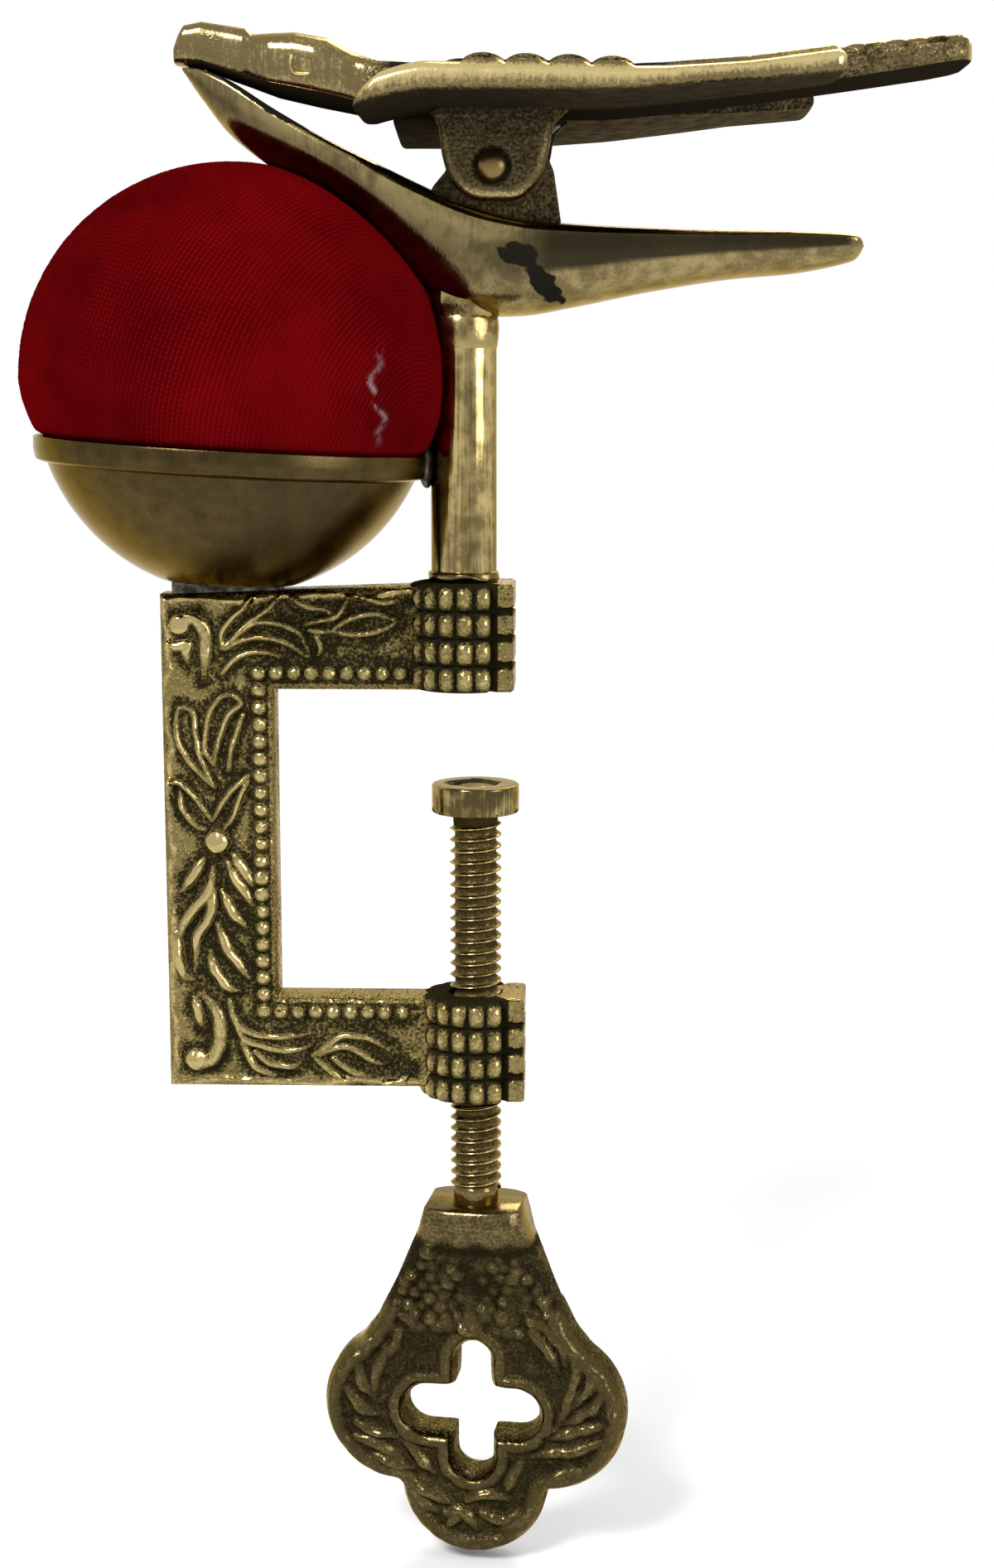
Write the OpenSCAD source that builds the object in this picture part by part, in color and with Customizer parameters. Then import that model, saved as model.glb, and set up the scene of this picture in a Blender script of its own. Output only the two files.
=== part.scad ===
// Sewing bird: a brass table clamp that carries a pincushion and a sprung bird that holds cloth.
// Millimetres. +Z runs up the post, +X runs from the beak to the tail, and the clamp opens to +X.
// The origin is the middle of the fixed jaw face, under the upper boss and on the post's axis.

/* [Clamp frame] */
// Clear height between the fixed jaw face and the lower arm
jaw_h = 28.6; // [22:0.2:40]
// Reach from the post's axis to the inner edge of the back bar
jaw_reach = 17.2; // [15:0.2:24]
// Width of the back bar
bar_w = 10.2; // [8:0.2:14]
// Height of each arm at the back bar
arm_h = 8.6; // [7:0.2:9.4]
// How much the top of the upper arm climbs on its way to the boss
arm_rise = 1; // [0:0.1:1]
// Thickness of the cast frame, front to back
frame_t = 4.2; // [3.4:0.1:5.6]
// Radius of the rounded corners inside the frame
corner_r = 1; // [0.4:0.1:2]
// Radius of the core of each boss, under its beading
boss_r = 4.8; // [4.4:0.1:6]
// Height of each boss
boss_h = 9.7; // [9.7:0.1:13]
// Distance from each boss's axis to its filed flat
boss_flat = 4.6; // [4.2:0.1:4.8]
// How far the rows of beading stand proud of a boss
boss_bead = 0.6; // [0.3:0.05:0.9]
// Rows of beading on a boss
boss_rows = 4; // [2:1:6]
// Radius of the beads along the frame's inner edge
bead_r = 0.7; // [0.4:0.05:0.9]
// Spacing of those beads
bead_pitch = 1.6; // [1.5:0.1:3]

/* [Post] */
// Diameter of the post
post_d = 5.9; // [5:0.1:7]
// Height of the post above the upper boss
post_h = 22.5; // [20:0.1:26]
// Diameter of the tenon that the boss holds
tenon_d = 4; // [2.5:0.1:4.6]
// Length of that tenon
tenon_l = 7; // [4:0.1:8.5]
// How far the brazing stands out round the post
braze_w = 0.4; // [0.2:0.05:0.8]

/* [Cup and cushion] */
// Outer diameter of the cup's rim
cup_d = 35.4; // [33.6:0.2:38]
// Height of the rim band
rim_h = 2.2; // [1:0.1:3]
// Depth of the cup below its rim
cup_depth = 12.3; // [10.5:0.1:13.4]
// How far the bowl stands back from the rim band
rim_step = 1.2; // [0.6:0.1:2]
// Diameter of the cup's flat foot
foot_d = 12.2; // [8:0.2:15]
// Thickness of the cup's brass
cup_wall = 0.8; // [0.5:0.05:1.1]
// Tilt of the cup towards the post
cup_tilt = 3.2; // [0:0.2:6]
// Thickness of the solder under the cup
solder_t = 0.3; // [0.1:0.05:1]
// Diameter of the cushion
ball_d = 38.2; // [35:0.2:39]
// Height of the cushion's centre above the rim
ball_rise = 5.5; // [4:0.1:7]
// Thickness of the velvet
velvet_t = 0.9; // [0.6:0.1:1.5]
// Diameter of the thread that gathers the velvet
gather_d = 0.6; // [0.4:0.1:0.9]

/* [Bird] */
// Distance of the pivot ahead of the post's axis
pivot_x = 2.7; // [1.5:0.1:4]
// Height of the pivot above the post
pivot_rise = 13.5; // [13.5:0.1:14.5]
// Diameter of the pivot pin
pin_d = 2; // [1.4:0.1:2.4]
// Overall width of the upstand's two cheeks
cheeks_w = 8; // [7.6:0.1:9]
// Thickness of each cheek
cheek_t = 1.6; // [1.1:0.1:1.7]
// Radius of a cheek's round top
cheek_r = 4.2; // [3.4:0.1:4.3]
// Thickness of each ear
ear_t = 1.8; // [1.2:0.1:2.4]
// Width of each ear
ear_w = 9.3; // [8:0.1:10]
// Height of the ears' lowest point below the pivot
ear_drop = 2.8; // [2.4:0.1:3]
// Height of the upper bird's underside above the pivot
belly_rise = 4.7; // [4.6:0.1:5.5]
// Span from wing tip to wing tip
wing_span = 35; // [30:0.5:40]
// Thickness of the wings
wing_t = 2.4; // [1.6:0.1:3]
// Length of a wing's straight outer edge
wing_l = 39.5; // [32:0.5:42]
// Width of a wing's free end
wing_end_w = 7.5; // [6:0.5:9]
// Thickness of the tail
tail_t = 2.6; // [1.8:0.1:3.2]
// Length of the upper tail behind the pivot
tail_l = 40.8; // [36:0.2:44]
// How far the tail's underside climbs to its end
tail_climb = 3.9; // [2:0.1:5]

/* [Spring] */
// Diameter of the spring's wire
wire_d = 0.7; // [0.5:0.05:0.75]
// Mean diameter of its coil
coil_d = 3.8; // [3.5:0.1:4.2]
// Whole turns of the coil, beside the half turn that sets the two legs apart
coil_turns = 2; // [1:1:2]
// Spacing of its turns
coil_pitch = 1.25; // [1.18:0.01:1.4]

/* [Screw] */
// Distance of the screw's axis ahead of the post's axis
screw_x = 1; // [0:0.1:1.4]
// Diameter over the thread
thread_d = 4.76; // [4:0.02:5]
// Depth of the thread
thread_depth = 0.5; // [0.3:0.02:0.6]
// Spacing of the thread
thread_pitch = 1.058; // [1:0.002:1.4]
// Turns of the thread
thread_turns = 33; // [30:1:34]
// Length of the plain neck above the thread
neck_l = 1; // [0.6:0.1:2]
// Clearance round the screw in the lower boss
screw_play = 0.12; // [0.1:0.01:0.25]

/* [Pressure pad] */
// Diameter of the pad
pad_d = 8; // [6.5:0.1:9.5]
// Thickness of the pad
pad_h = 2.6; // [2:0.1:3.4]
// Diameter of the peened pin that carries it
peen_pin_d = 2.6; // [2:0.1:3]
// Distance of the pad below the fixed jaw face, as the clamp is drawn
pad_drop = 8.8; // [2:0.1:14]

/* [Thumb key] */
// Height of the key from its collar to its foot
key_h = 35.4; // [33:0.2:38]
// Width of the key over its side lobes
key_w = 29; // [26:0.2:32]
// Diameter of the collar
collar_d = 8.9; // [7.5:0.1:10]
// Thickness of the key's head
key_t = 4.2; // [3.2:0.1:6]
// Width and height of the window
window_w = 12.6; // [11.6:0.1:13.6]
// Width of the window's lobes
window_lobe = 4.8; // [4.4:0.1:5.2]
// Turn of the key about the screw's axis, as the clamp is drawn
key_turn = 7.5; // [0:0.5:45]

/* [Hidden] */
$fn = 64;
// A hair's breadth between pieces that are brazed or soldered together
fit = 0.02;
// Running clearance of a pin in its hole
run = 0.05;
// Clearance round the cushion, which is soft
soft_gap = 0.3;
over = 1;

post_r = post_d / 2;
post_top = boss_h + post_h;
lower_z = -jaw_h;
lower_boss_z = lower_z - boss_h + 0.2;
frame_left = -jaw_reach - bar_w;

cup_r = cup_d / 2;
cup_x = -(cup_r + post_r + 0.05);
foot_r = foot_d / 2;
foot_edge = [foot_r, -cup_depth];
shoulder_r = cup_r - rim_step;
// The bowl is part of a ball through the foot's edge and the shoulder under the rim band
bowl_rise = (pow(shoulder_r, 2) + pow(rim_h, 2) - pow(foot_r, 2) - pow(cup_depth, 2)) / (2 * (cup_depth - rim_h));
bowl_r = sqrt(pow(foot_r, 2) + pow(cup_depth + bowl_rise, 2));
cup_z = arm_top(cup_x + tilt(foot_edge)[0]) + solder_t - tilt(foot_edge)[1];
bowl_in = bowl_r - cup_wall;
ball_r = ball_d / 2;

pivot_z = post_top + pivot_rise;
belly_z = pivot_z + belly_rise;
ear_in = cheeks_w / 2 + 0.1;
ear_out = ear_in + ear_t;
ear_x = pivot_x + 0.35;
wing_front = -7.8;
tail_end = pivot_x + tail_l;
tail_start = 0.28 * tail_end;

pad_top = -pad_drop;
pad_foot = pad_top - pad_h;
thread_r = thread_d / 2;
root_r = thread_r - thread_depth;
thread_top = pad_foot - 0.1 - neck_l;
thread_foot = thread_top - thread_pitch * thread_turns;
collar_top = thread_foot - 1.2;
peen_r = peen_pin_d / 2 + 0.6;
peen_h = 0.6;

// Height of the upper arm's top edge at x
function arm_top(x) = arm_h + arm_rise * (x - frame_left) / -frame_left;
// A point of the cup's own radius and height, as an offset from the middle of its tilted rim
function tilt(p) = [p[0] * cos(cup_tilt) + p[1] * sin(cup_tilt), p[1] * cos(cup_tilt) - p[0] * sin(cup_tilt)];
// A smooth value between b and c at t, with a and d as the values before and after
function smooth4(a, b, c, d, t) =
    b + 0.5 * t * (c - a + t * (2 * a - 5 * b + 4 * c - d + t * (3 * (b - c) + d - a)));
// The station at the place u of a list, counted in stations
function station(list, u) =
    let (n = len(list) - 1, i = min(floor(u), n - 1), t = u - i)
    smooth4(list[max(i - 1, 0)], list[i], list[i + 1], list[min(i + 2, n)], t);
// Faces of a tube of n rings of m points each, which run anticlockwise seen from ahead of the tube's end
function tube_faces(n, m) = concat(
    [for (i = [0 : n - 2], j = [0 : m - 1]) [i * m + j, (i + 1) * m + j, i * m + (j + 1) % m]],
    [for (i = [0 : n - 2], j = [0 : m - 1]) [i * m + (j + 1) % m, (i + 1) * m + j, (i + 1) * m + (j + 1) % m]],
    cap_faces(m),
    [for (f = cap_faces(m)) [for (v = [f[2], f[1], f[0]]) (n - 1) * m + v]]);
// A tube's first cap, in strips across the ring, which keeps a flat ring's triangles stout
function cap_faces(m) = concat(
    [[0, 1, m - 1]],
    [for (j = [1 : m / 2 - 2]) [j, j + 1, m - j]],
    [for (j = [1 : m / 2 - 2]) [j + 1, m - j - 1, m - j]],
    [[m / 2 - 1, m / 2, m / 2 + 1]]);

// An outline drawn in X and Z, made w thick about Y = y
module plate(w, y = 0) {
    translate([0, y + w / 2, 0]) rotate([90, 0, 0]) linear_extrude(w) children();
}

// A cylinder along Y
module cross_pin(r, w) {
    rotate([90, 0, 0]) cylinder(r = r, h = w, center = true);
}

// Clamp frame: a C of back bar and two arms, with a beaded barrel boss at each end
module boss() {
    row_h = boss_h / boss_rows;
    groove_w = 0.5;
    difference() {
        rotate_extrude($fn = 96) {
            square([boss_r, boss_h]);
            for (i = [0 : boss_rows - 1])
                translate([boss_r + boss_bead - row_h / 2, (i + 0.5) * row_h]) circle(d = row_h);
        }
        translate([boss_flat, -2 * boss_r, -over]) cube([2 * boss_r, 4 * boss_r, boss_h + 2 * over]);
        for (side = [-1, 1], a = [46 : 22 : 134])
            rotate([0, 0, side * a]) translate([boss_r - 0.1, -groove_w / 2, -over])
                cube([boss_r, groove_w, boss_h + 2 * over]);
    }
}

module inner_corner() {
    difference() {
        translate([-0.1, -0.1]) square(corner_r + 0.1);
        translate([corner_r, corner_r]) circle(corner_r, $fn = 32);
    }
}

module frame_outline() {
    polygon([
        [frame_left, lower_z - arm_h], [0, lower_z - arm_h], [0, lower_z], [-jaw_reach, lower_z],
        [-jaw_reach, 0], [0, 0], [0, arm_top(0)], [frame_left, arm_h]
    ]);
    translate([-jaw_reach, lower_z]) inner_corner();
    translate([-jaw_reach, 0]) mirror([0, 1]) inner_corner();
}

module edge_beads() {
    inset = bead_r + 0.6;
    column = floor((jaw_h - 2 * inset) / bead_pitch);
    row = floor((jaw_reach - boss_r - 2) / bead_pitch);
    for (side = [-1, 1]) {
        for (i = [0 : column])
            translate([-jaw_reach - inset, side * frame_t / 2, -jaw_h / 2 + (i - column / 2) * bead_pitch])
                sphere(bead_r, $fn = 24);
        for (i = [0 : row], z = [inset, lower_z - inset])
            translate([-jaw_reach + i * bead_pitch, side * frame_t / 2, z]) sphere(bead_r, $fn = 24);
    }
}

module clamp_frame() {
    color("goldenrod") difference() {
        union() {
            plate(frame_t) frame_outline();
            edge_beads();
            boss();
            translate([screw_x, 0, lower_boss_z]) boss();
        }
        translate([0, 0, boss_h - tenon_l - 0.3]) cylinder(d = tenon_d + 2 * fit, h = boss_h);
        translate([screw_x, 0, lower_boss_z - over]) cylinder(r = thread_r + screw_play, h = boss_h + 2 * over);
    }
}

// Post: a round bar with a tenon in the upper boss, brazed at both ends
module post() {
    color("darkgoldenrod") {
        translate([0, 0, boss_h - tenon_l]) cylinder(d = tenon_d, h = tenon_l + over);
        translate([0, 0, boss_h]) cylinder(r = post_r, h = post_h);
    }
}

module post_base_braze() {
    color("gold") translate([0, 0, boss_h]) rotate_extrude() polygon([
        [post_r + fit, 0], [post_r + braze_w, 0], [post_r + 0.8 * braze_w, 0.5],
        [post_r + 0.3 * braze_w, 0.8], [post_r + fit, 0.9]
    ]);
}

module post_top_braze() {
    lap = 1.6;
    color("gold") translate([0, 0, post_top]) rotate_extrude() polygon([
        [post_r + fit, -lap], [post_r + 0.6 * braze_w, -lap + 0.3], [post_r + braze_w, -0.5],
        [post_r + 0.9 * braze_w, 0.3], [post_r + 0.2 * braze_w, 0.9], [neck_r() + fit, 1], [neck_r() + fit, 0],
        [post_r + fit, 0]
    ]);
}
function neck_r() = post_r - 0.25;

// Cup: a spun bowl with a plain band at its rim, tilted a little towards the post
module in_cup() {
    translate([cup_x, 0, cup_z]) rotate([0, cup_tilt, 0]) children();
}

module cup_shape(grow = 0) {
    intersection() {
        translate([0, 0, bowl_rise]) sphere(bowl_r + grow, $fn = 96);
        translate([0, 0, -cup_depth - grow]) cylinder(r = cup_r, h = cup_depth + grow - rim_h / 2);
    }
    translate([0, 0, -rim_h - grow]) cylinder(r = cup_r + grow, h = rim_h + 2 * grow);
}

module cushion_cup() {
    color("goldenrod") in_cup() difference() {
        cup_shape();
        intersection() {
            translate([0, 0, bowl_rise]) sphere(bowl_in, $fn = 96);
            translate([0, 0, cup_wall - cup_depth]) cylinder(r = cup_r, h = cup_depth + over);
        }
    }
}

module cup_foot_solder() {
    // The solder fills the wedge between the arm's top edge and the cup's flat foot
    reach = foot_r - 1.2;
    near = tilt([reach, -cup_depth]);
    far = tilt([-reach, -cup_depth]);
    color("silver") plate(frame_t - 0.8) polygon([
        [cup_x + far[0], arm_top(cup_x + far[0])], [cup_x + near[0], arm_top(cup_x + near[0])],
        [cup_x + near[0], cup_z + near[1]], [cup_x + far[0], cup_z + far[1]]
    ]);
}

module cup_side_solder() {
    lump_r = 1.8;
    color("silver") difference() {
        in_cup() translate([cup_r - 0.8, 0, -rim_h - 0.6]) sphere(lump_r, $fn = 32);
        cylinder(r = post_r + fit, h = post_top);
        in_cup() cup_shape(fit);
    }
}

// Cushion: a velvet ball on wool stuffing, gathered underneath and set into the cup
module ball(grow = 0) {
    floor_z = cup_wall - cup_depth + gather_d + 0.2;
    intersection() {
        translate([0, 0, ball_rise]) sphere(ball_r + grow, $fn = 96);
        translate([0, 0, soft_gap / 2 - grow]) cylinder(r = ball_r + over, h = 2 * ball_d);
    }
    intersection() {
        translate([0, 0, bowl_rise]) sphere(bowl_in - soft_gap / 2 + grow, $fn = 96);
        translate([0, 0, floor_z - grow]) cylinder(r = cup_r, h = cup_depth);
    }
}

// The ball with the hollows that the post and the bird's breast press into it
module pressed_ball(grow, gap) {
    difference() {
        in_cup() ball(grow);
        translate([0, 0, boss_h]) cylinder(r = post_r + gap, h = post_h + pivot_rise / 2);
        translate([0, 0, post_top - 2]) cylinder(r = post_r + braze_w + gap, h = pivot_rise / 2);
        bird_hull(gap);
    }
}

module velvet_cover() {
    mouth_r = 3;
    color("crimson") difference() {
        pressed_ball(0, soft_gap);
        pressed_ball(-velvet_t, soft_gap + velvet_t);
        in_cup() translate([0, 0, -cup_depth]) cylinder(r = mouth_r, h = cup_depth);
    }
}

module cushion_stuffing() {
    slack = 0.1;
    color("tan") pressed_ball(-velvet_t - slack, soft_gap + velvet_t + slack);
}

module gathering_thread() {
    color("ivory") in_cup() translate([0, 0, cup_wall - cup_depth + gather_d / 2 + 0.1])
        rotate_extrude($fn = 48) translate([4, 0]) circle(d = gather_d, $fn = 24);
}

// Lower bird: a boat-shaped casting of lower beak, breast and tail lever, on a short neck
// Each station is its place along X, then top and bottom above the post, then half the width
hull_stations = [
    [-24.4, 22.3, 21.9, 1.4], [-22.8, 22.1, 19.6, 2.6], [-20.2, 21.1, 16.4, 3.6], [-16.2, 18.6, 13.4, 4.6],
    [-11.8, 16.1, 10.7, 5.4], [-7.6, 14.1, 7.1, 6.0], [-3.8, 12.3, 3.6, 6.4], [0.4, 10.5, 1.3, 6.6],
    [5, 9.3, 1.0, 6.6], [10, 8.8, 1.8, 6.3], [16, 8.5, 3.0, 5.7], [23, 8.3, 4.1, 4.9],
    [29.5, 8.2, 4.7, 4.2], [34.2, 7.9, 5.7, 3.2], [35.1, 7.3, 6.5, 2.2]
];

// Ring of one station: a low crown above its widest line and a rounded keel below it
function hull_ring(s, gap, m) =
    let (edge = s[1] - 0.22 * (s[1] - s[2]))
    [for (j = [0 : m - 1])
        let (a = 360 * j / m, up = sin(a) > 0 ? s[1] + gap - edge : edge - s[2] + gap)
        [s[0], (s[3] + gap) * cos(a), post_top + edge + up * sin(a)]];

module bird_hull(gap = 0) {
    sides = 16;
    steps = 2;
    n = (len(hull_stations) - 1) * steps;
    rings = [for (i = [0 : n]) let (s = station(hull_stations, i / steps)) hull_ring(
        [s[0] + (i == 0 ? -gap : i == n ? gap : 0), s[1], s[2], s[3]], gap, sides)];
    polyhedron(points = [for (ring = rings, p = ring) p], faces = tube_faces(n + 1, sides), convexity = 6);
}

module cheek_outline() {
    translate([pivot_x, pivot_z]) {
        circle(cheek_r);
        polygon([
            [-6.1, -4.4], [-5.2, -1.6], [-4, -0.2], [0, cheek_r / 2], [4.9, 1.9], [5.6, -0.3], [6.2, -6], [0, -7]
        ]);
    }
}

module bird_body() {
    color("goldenrod") difference() {
        union() {
            bird_hull();
            translate([0, 0, post_top]) cylinder(r = neck_r(), h = 3);
            for (side = [-1, 1]) plate(cheek_t, side * (cheeks_w - cheek_t) / 2) cheek_outline();
        }
        translate([pivot_x, 0, pivot_z]) cross_pin(pin_d / 2 + run, 2 * cheeks_w);
    }
}

// Upper bird: head and beak, spread wings and tail in one casting, with an ear each side of the cheeks
// Outlines seen from above are cut to outlines seen from the side, whose heights are above the pivot
module cast(side_w = 2 * wing_span) {
    intersection() {
        translate([0, 0, pivot_z]) linear_extrude(2 * post_h) children(0);
        translate([0, 0, pivot_z]) plate(side_w) children(1);
    }
}

module both_sides() {
    children();
    mirror([0, 1]) children();
}

// Height of the upper bird's underside at x, where the wings and tail climb behind the body
function under(x) = belly_rise
    + (x < tail_start ? 0 : tail_climb * pow((x - tail_start) / (tail_end - tail_start), 1.3));

module wing_plan() {
    front_r = 2.5;
    end_r = 1.2;
    front = wing_front + front_r;
    back = wing_front + wing_l - end_r;
    edge = wing_span / 2;
    polygon([
        [front + 2, 0], [wing_front + 1.2, 4.5], [wing_front, edge - front_r], [front, edge],
        [back, edge], [back + end_r, edge - end_r], [back + end_r, edge - wing_end_w + end_r],
        [back, edge - wing_end_w], [tail_start + 0.9, 4], [tail_start + 0.9, 0]
    ]);
    translate([front, edge - front_r]) circle(front_r, $fn = 32);
    translate([back, edge - end_r]) circle(end_r, $fn = 32);
    translate([back, edge - wing_end_w + end_r]) circle(end_r, $fn = 32);
}

module wing_side() {
    back = wing_front + wing_l + 2;
    xs = [wing_front - 2, tail_start, (2 * tail_start + back) / 3, (tail_start + 2 * back) / 3, back];
    rise = 0.65;
    polygon(concat(
        [for (x = xs) [x, belly_rise + rise * (under(x) - belly_rise)]],
        [for (i = [len(xs) - 1 : -1 : 0]) [xs[i], belly_rise + rise * (under(xs[i]) - belly_rise) + wing_t]]));
}

module body_plan() {
    polygon([
        [-25.1, 0], [-25.1, 1.2], [-24.4, 1.9], [-19, 2.4], [-16.6, 4.1], [-12.5, 4.8], [-9, 4.6], [-6, 5.6],
        [-1, ear_out], [9, ear_out], [0.37 * tail_end, 5.2], [0.53 * tail_end, 4.6], [0.78 * tail_end, 5.8],
        [tail_end - 2.5, 6.6],
        [tail_end - 0.6, 5.8], [tail_end, 4], [tail_end, 0]
    ]);
}

module body_side() {
    xs = [for (part = [0.28, 0.41, 0.575, 0.78, 1]) part * tail_end];
    head_top = [
        [-25.1, 10.4], [-24.8, 11.5], [-24.3, 12.4], [-22.7, 12.7], [-19.4, 12.2], [-18.4, 11.8],
        [-14.4, 11.7], [-11.5, 11.1], [-9.3, 9.9], [-7.2, 9.1], [-3, 8.7], [4, 8.5]
    ];
    head_under = [[-9, 4.9], [-12.6, 5.6], [-16.2, 6.4], [-20.1, 7.75], [-22.7, 8.75], [-25.1, 9.1]];
    polygon(concat(
        head_top,
        [[xs[0], belly_rise + tail_t + 0.8], [xs[1], under(xs[1]) + tail_t + 0.3]],
        [for (x = [xs[2], xs[3], tail_end - 1]) [x, under(x) + tail_t]],
        [[tail_end, under(tail_end) + tail_t - 0.6]],
        [for (i = [len(xs) - 1 : -1 : 0]) [xs[i], under(xs[i])]],
        [[-6, belly_rise]],
        head_under));
}

module ear_side() {
    intersection() {
        translate([ear_x - pivot_x, ear_w / 2 - ear_drop - 0.35]) circle(d = ear_w);
        translate([-ear_w, -ear_drop]) square([2 * ear_w, ear_drop + belly_rise]);
    }
    translate([ear_x - pivot_x - ear_w / 2, ear_w / 2 - ear_drop - 0.35])
        square([ear_w, belly_rise + 1 - ear_w / 2 + ear_drop + 0.35]);
}

module bird_top() {
    color("goldenrod") difference() {
        union() {
            cast() {
                both_sides() wing_plan();
                wing_side();
            }
            cast() {
                both_sides() body_plan();
                body_side();
            }
            for (side = [-1, 1])
                translate([pivot_x, 0, pivot_z]) plate(ear_t, side * (ear_in + ear_t / 2)) ear_side();
        }
        translate([pivot_x, 0, pivot_z]) cross_pin(pin_d / 2 + fit / 2, 4 * cheeks_w);
    }
}

// Pivot pin: a rivet through both ears and both cheeks, domed over at each end
module pivot_pin() {
    dome_r = 0.8 * pin_d;
    dome_sink = 0.5 * pin_d;
    color("gold") translate([pivot_x, 0, pivot_z]) {
        cross_pin(pin_d / 2, 2 * ear_out + 0.1);
        for (side = [-1, 1]) intersection() {
            translate([0, side * (ear_out - dome_sink + fit), 0]) sphere(dome_r, $fn = 32);
            translate([0, side * (ear_out + fit + 1), 0]) cross_pin(2 * pin_d, 2);
        }
    }
}

// Beak spring: a torsion coil on the pin, with one leg on the breast and one under the upper bird
leg_x = pivot_x + 5.6;
coil_start_y = -coil_pitch * (coil_turns + 0.5) / 2;
function bend(a, b, c, t) = (1 - t) * (1 - t) * a + 2 * t * (1 - t) * b + t * t * c;
function coil_point(turn) =
    let (a = -90 - 360 * turn)
    [pivot_x + coil_d / 2 * cos(a), coil_start_y + coil_pitch * turn, pivot_z + coil_d / 2 * sin(a)];
coil_rings = [for (i = [0 : 12 * (coil_turns + 0.5)]) coil_point(i / 12)];
spring_path = concat(
    [for (t = [0 : 0.2 : 0.81]) bend(
        [leg_x, coil_start_y, post_top + 9.4], coil_rings[0] + [2.6, 0, 0], coil_rings[0], t)],
    coil_rings,
    [for (t = [0.2 : 0.2 : 1.01]) bend(
        coil_rings[len(coil_rings) - 1], coil_rings[len(coil_rings) - 1] + [2.6, 0, 0],
        [leg_x, -coil_start_y, belly_z - wire_d / 2 - 0.08], t)]);
spring_gap = min([for (i = [0 : len(spring_path) - 1], j = [i + 6 : 1 : len(spring_path) - 1])
    norm(spring_path[i] - spring_path[j])]) - wire_d;

// Ring of m points about a point of a path, square to the way from a to c
function wire_ring(a, b, c, r, m) =
    let (
        t = (c - a) / norm(c - a), y = [0, 1, 0] - t[1] * t, u = y / norm(y), v = cross(t, u)
    )
    [for (j = [0 : m - 1]) b + r * (cos(360 * j / m) * u + sin(360 * j / m) * v)];

module beak_spring() {
    sides = 8;
    n = len(spring_path);
    rings = [for (i = [0 : n - 1]) wire_ring(
        spring_path[max(i - 1, 0)], spring_path[i], spring_path[min(i + 1, n - 1)], wire_d / 2, sides)];
    echo(least_gap_of_spring_to_itself = spring_gap);
    color("silver") polyhedron(points = [for (ring = rings, p = ring) p], faces = tube_faces(n, sides));
}

// Clamp screw: a right-hand thread between two plain necks, with a peened pin at the top
// A row of the thread's mesh follows the helix, and three rows make one root and crest
row_rise = [0, 0.4, 0.6];
function thread_point(k, i, m) =
    let (
        turn = floor(k / 3) + row_rise[k % 3] + i / m,
        fade = max(0, min(1, turn, thread_turns - turn)),
        r = k % 3 == 0 ? root_r : root_r + fade * thread_depth
    )
    [r * cos(360 * i / m), r * sin(360 * i / m), turn * thread_pitch];

module thread() {
    m = 16;
    rows = 3 * thread_turns;
    points = concat(
        [for (k = [0 : rows], i = [0 : m - 1]) thread_point(k, i, m)],
        [[0, 0, thread_pitch / 2], [0, 0, (thread_turns + 0.5) * thread_pitch]]);
    bottom = len(points) - 2;
    top = len(points) - 1;
    bottom_edge = concat([for (i = [0 : m - 1]) i], [3 * m, 2 * m, m]);
    top_edge = concat([for (i = [0 : m - 1]) rows * m + i], [for (k = [1 : 3]) (rows - k + 1) * m - 1]);
    walls = [for (k = [0 : rows - 1], i = [0 : m - 1]) if (i < m - 1 || k + 4 <= rows)
        let (next = i < m - 1 ? k * m + i + 1 : (k + 3) * m)
        [[k * m + i, (k + 1) * m + i, next], [next, (k + 1) * m + i, next + m]]];
    polyhedron(
        points = points,
        faces = concat(
            [for (pair = walls, face = pair) face],
            [for (j = [0 : len(bottom_edge) - 1])
                [bottom, bottom_edge[j], bottom_edge[(j + 1) % len(bottom_edge)]]],
            [for (j = [0 : len(top_edge) - 1])
                [top, top_edge[(j + 1) % len(top_edge)], top_edge[j]]]),
        convexity = 10);
}

module clamp_screw() {
    neck_r = root_r + 0.22;
    lap = 0.8 * thread_pitch;
    seat = 6;
    color("goldenrod") translate([screw_x, 0, 0]) {
        translate([0, 0, thread_foot]) thread();
        translate([0, 0, thread_top - lap]) cylinder(r = neck_r, h = neck_l + lap);
        translate([0, 0, thread_top]) cylinder(d = peen_pin_d, h = pad_top - 0.1 - thread_top);
        translate([0, 0, pad_top - peen_h]) cylinder(r = peen_r, h = peen_h - 0.1);
        translate([0, 0, collar_top - seat]) cylinder(r = neck_r, h = thread_foot + lap - collar_top + seat);
    }
}

// Pressure pad: a plain disc that swivels on the screw's peened pin
module pressure_pad() {
    color("gold") translate([screw_x, 0, pad_foot]) difference() {
        cylinder(d = pad_d, h = pad_h, $fn = 96);
        translate([0, 0, -over]) cylinder(r = peen_pin_d / 2 + run, h = pad_h + 2 * over);
        translate([0, 0, pad_h - peen_h - run]) cylinder(r = peen_r + 2 * run, h = pad_h);
    }
}

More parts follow.
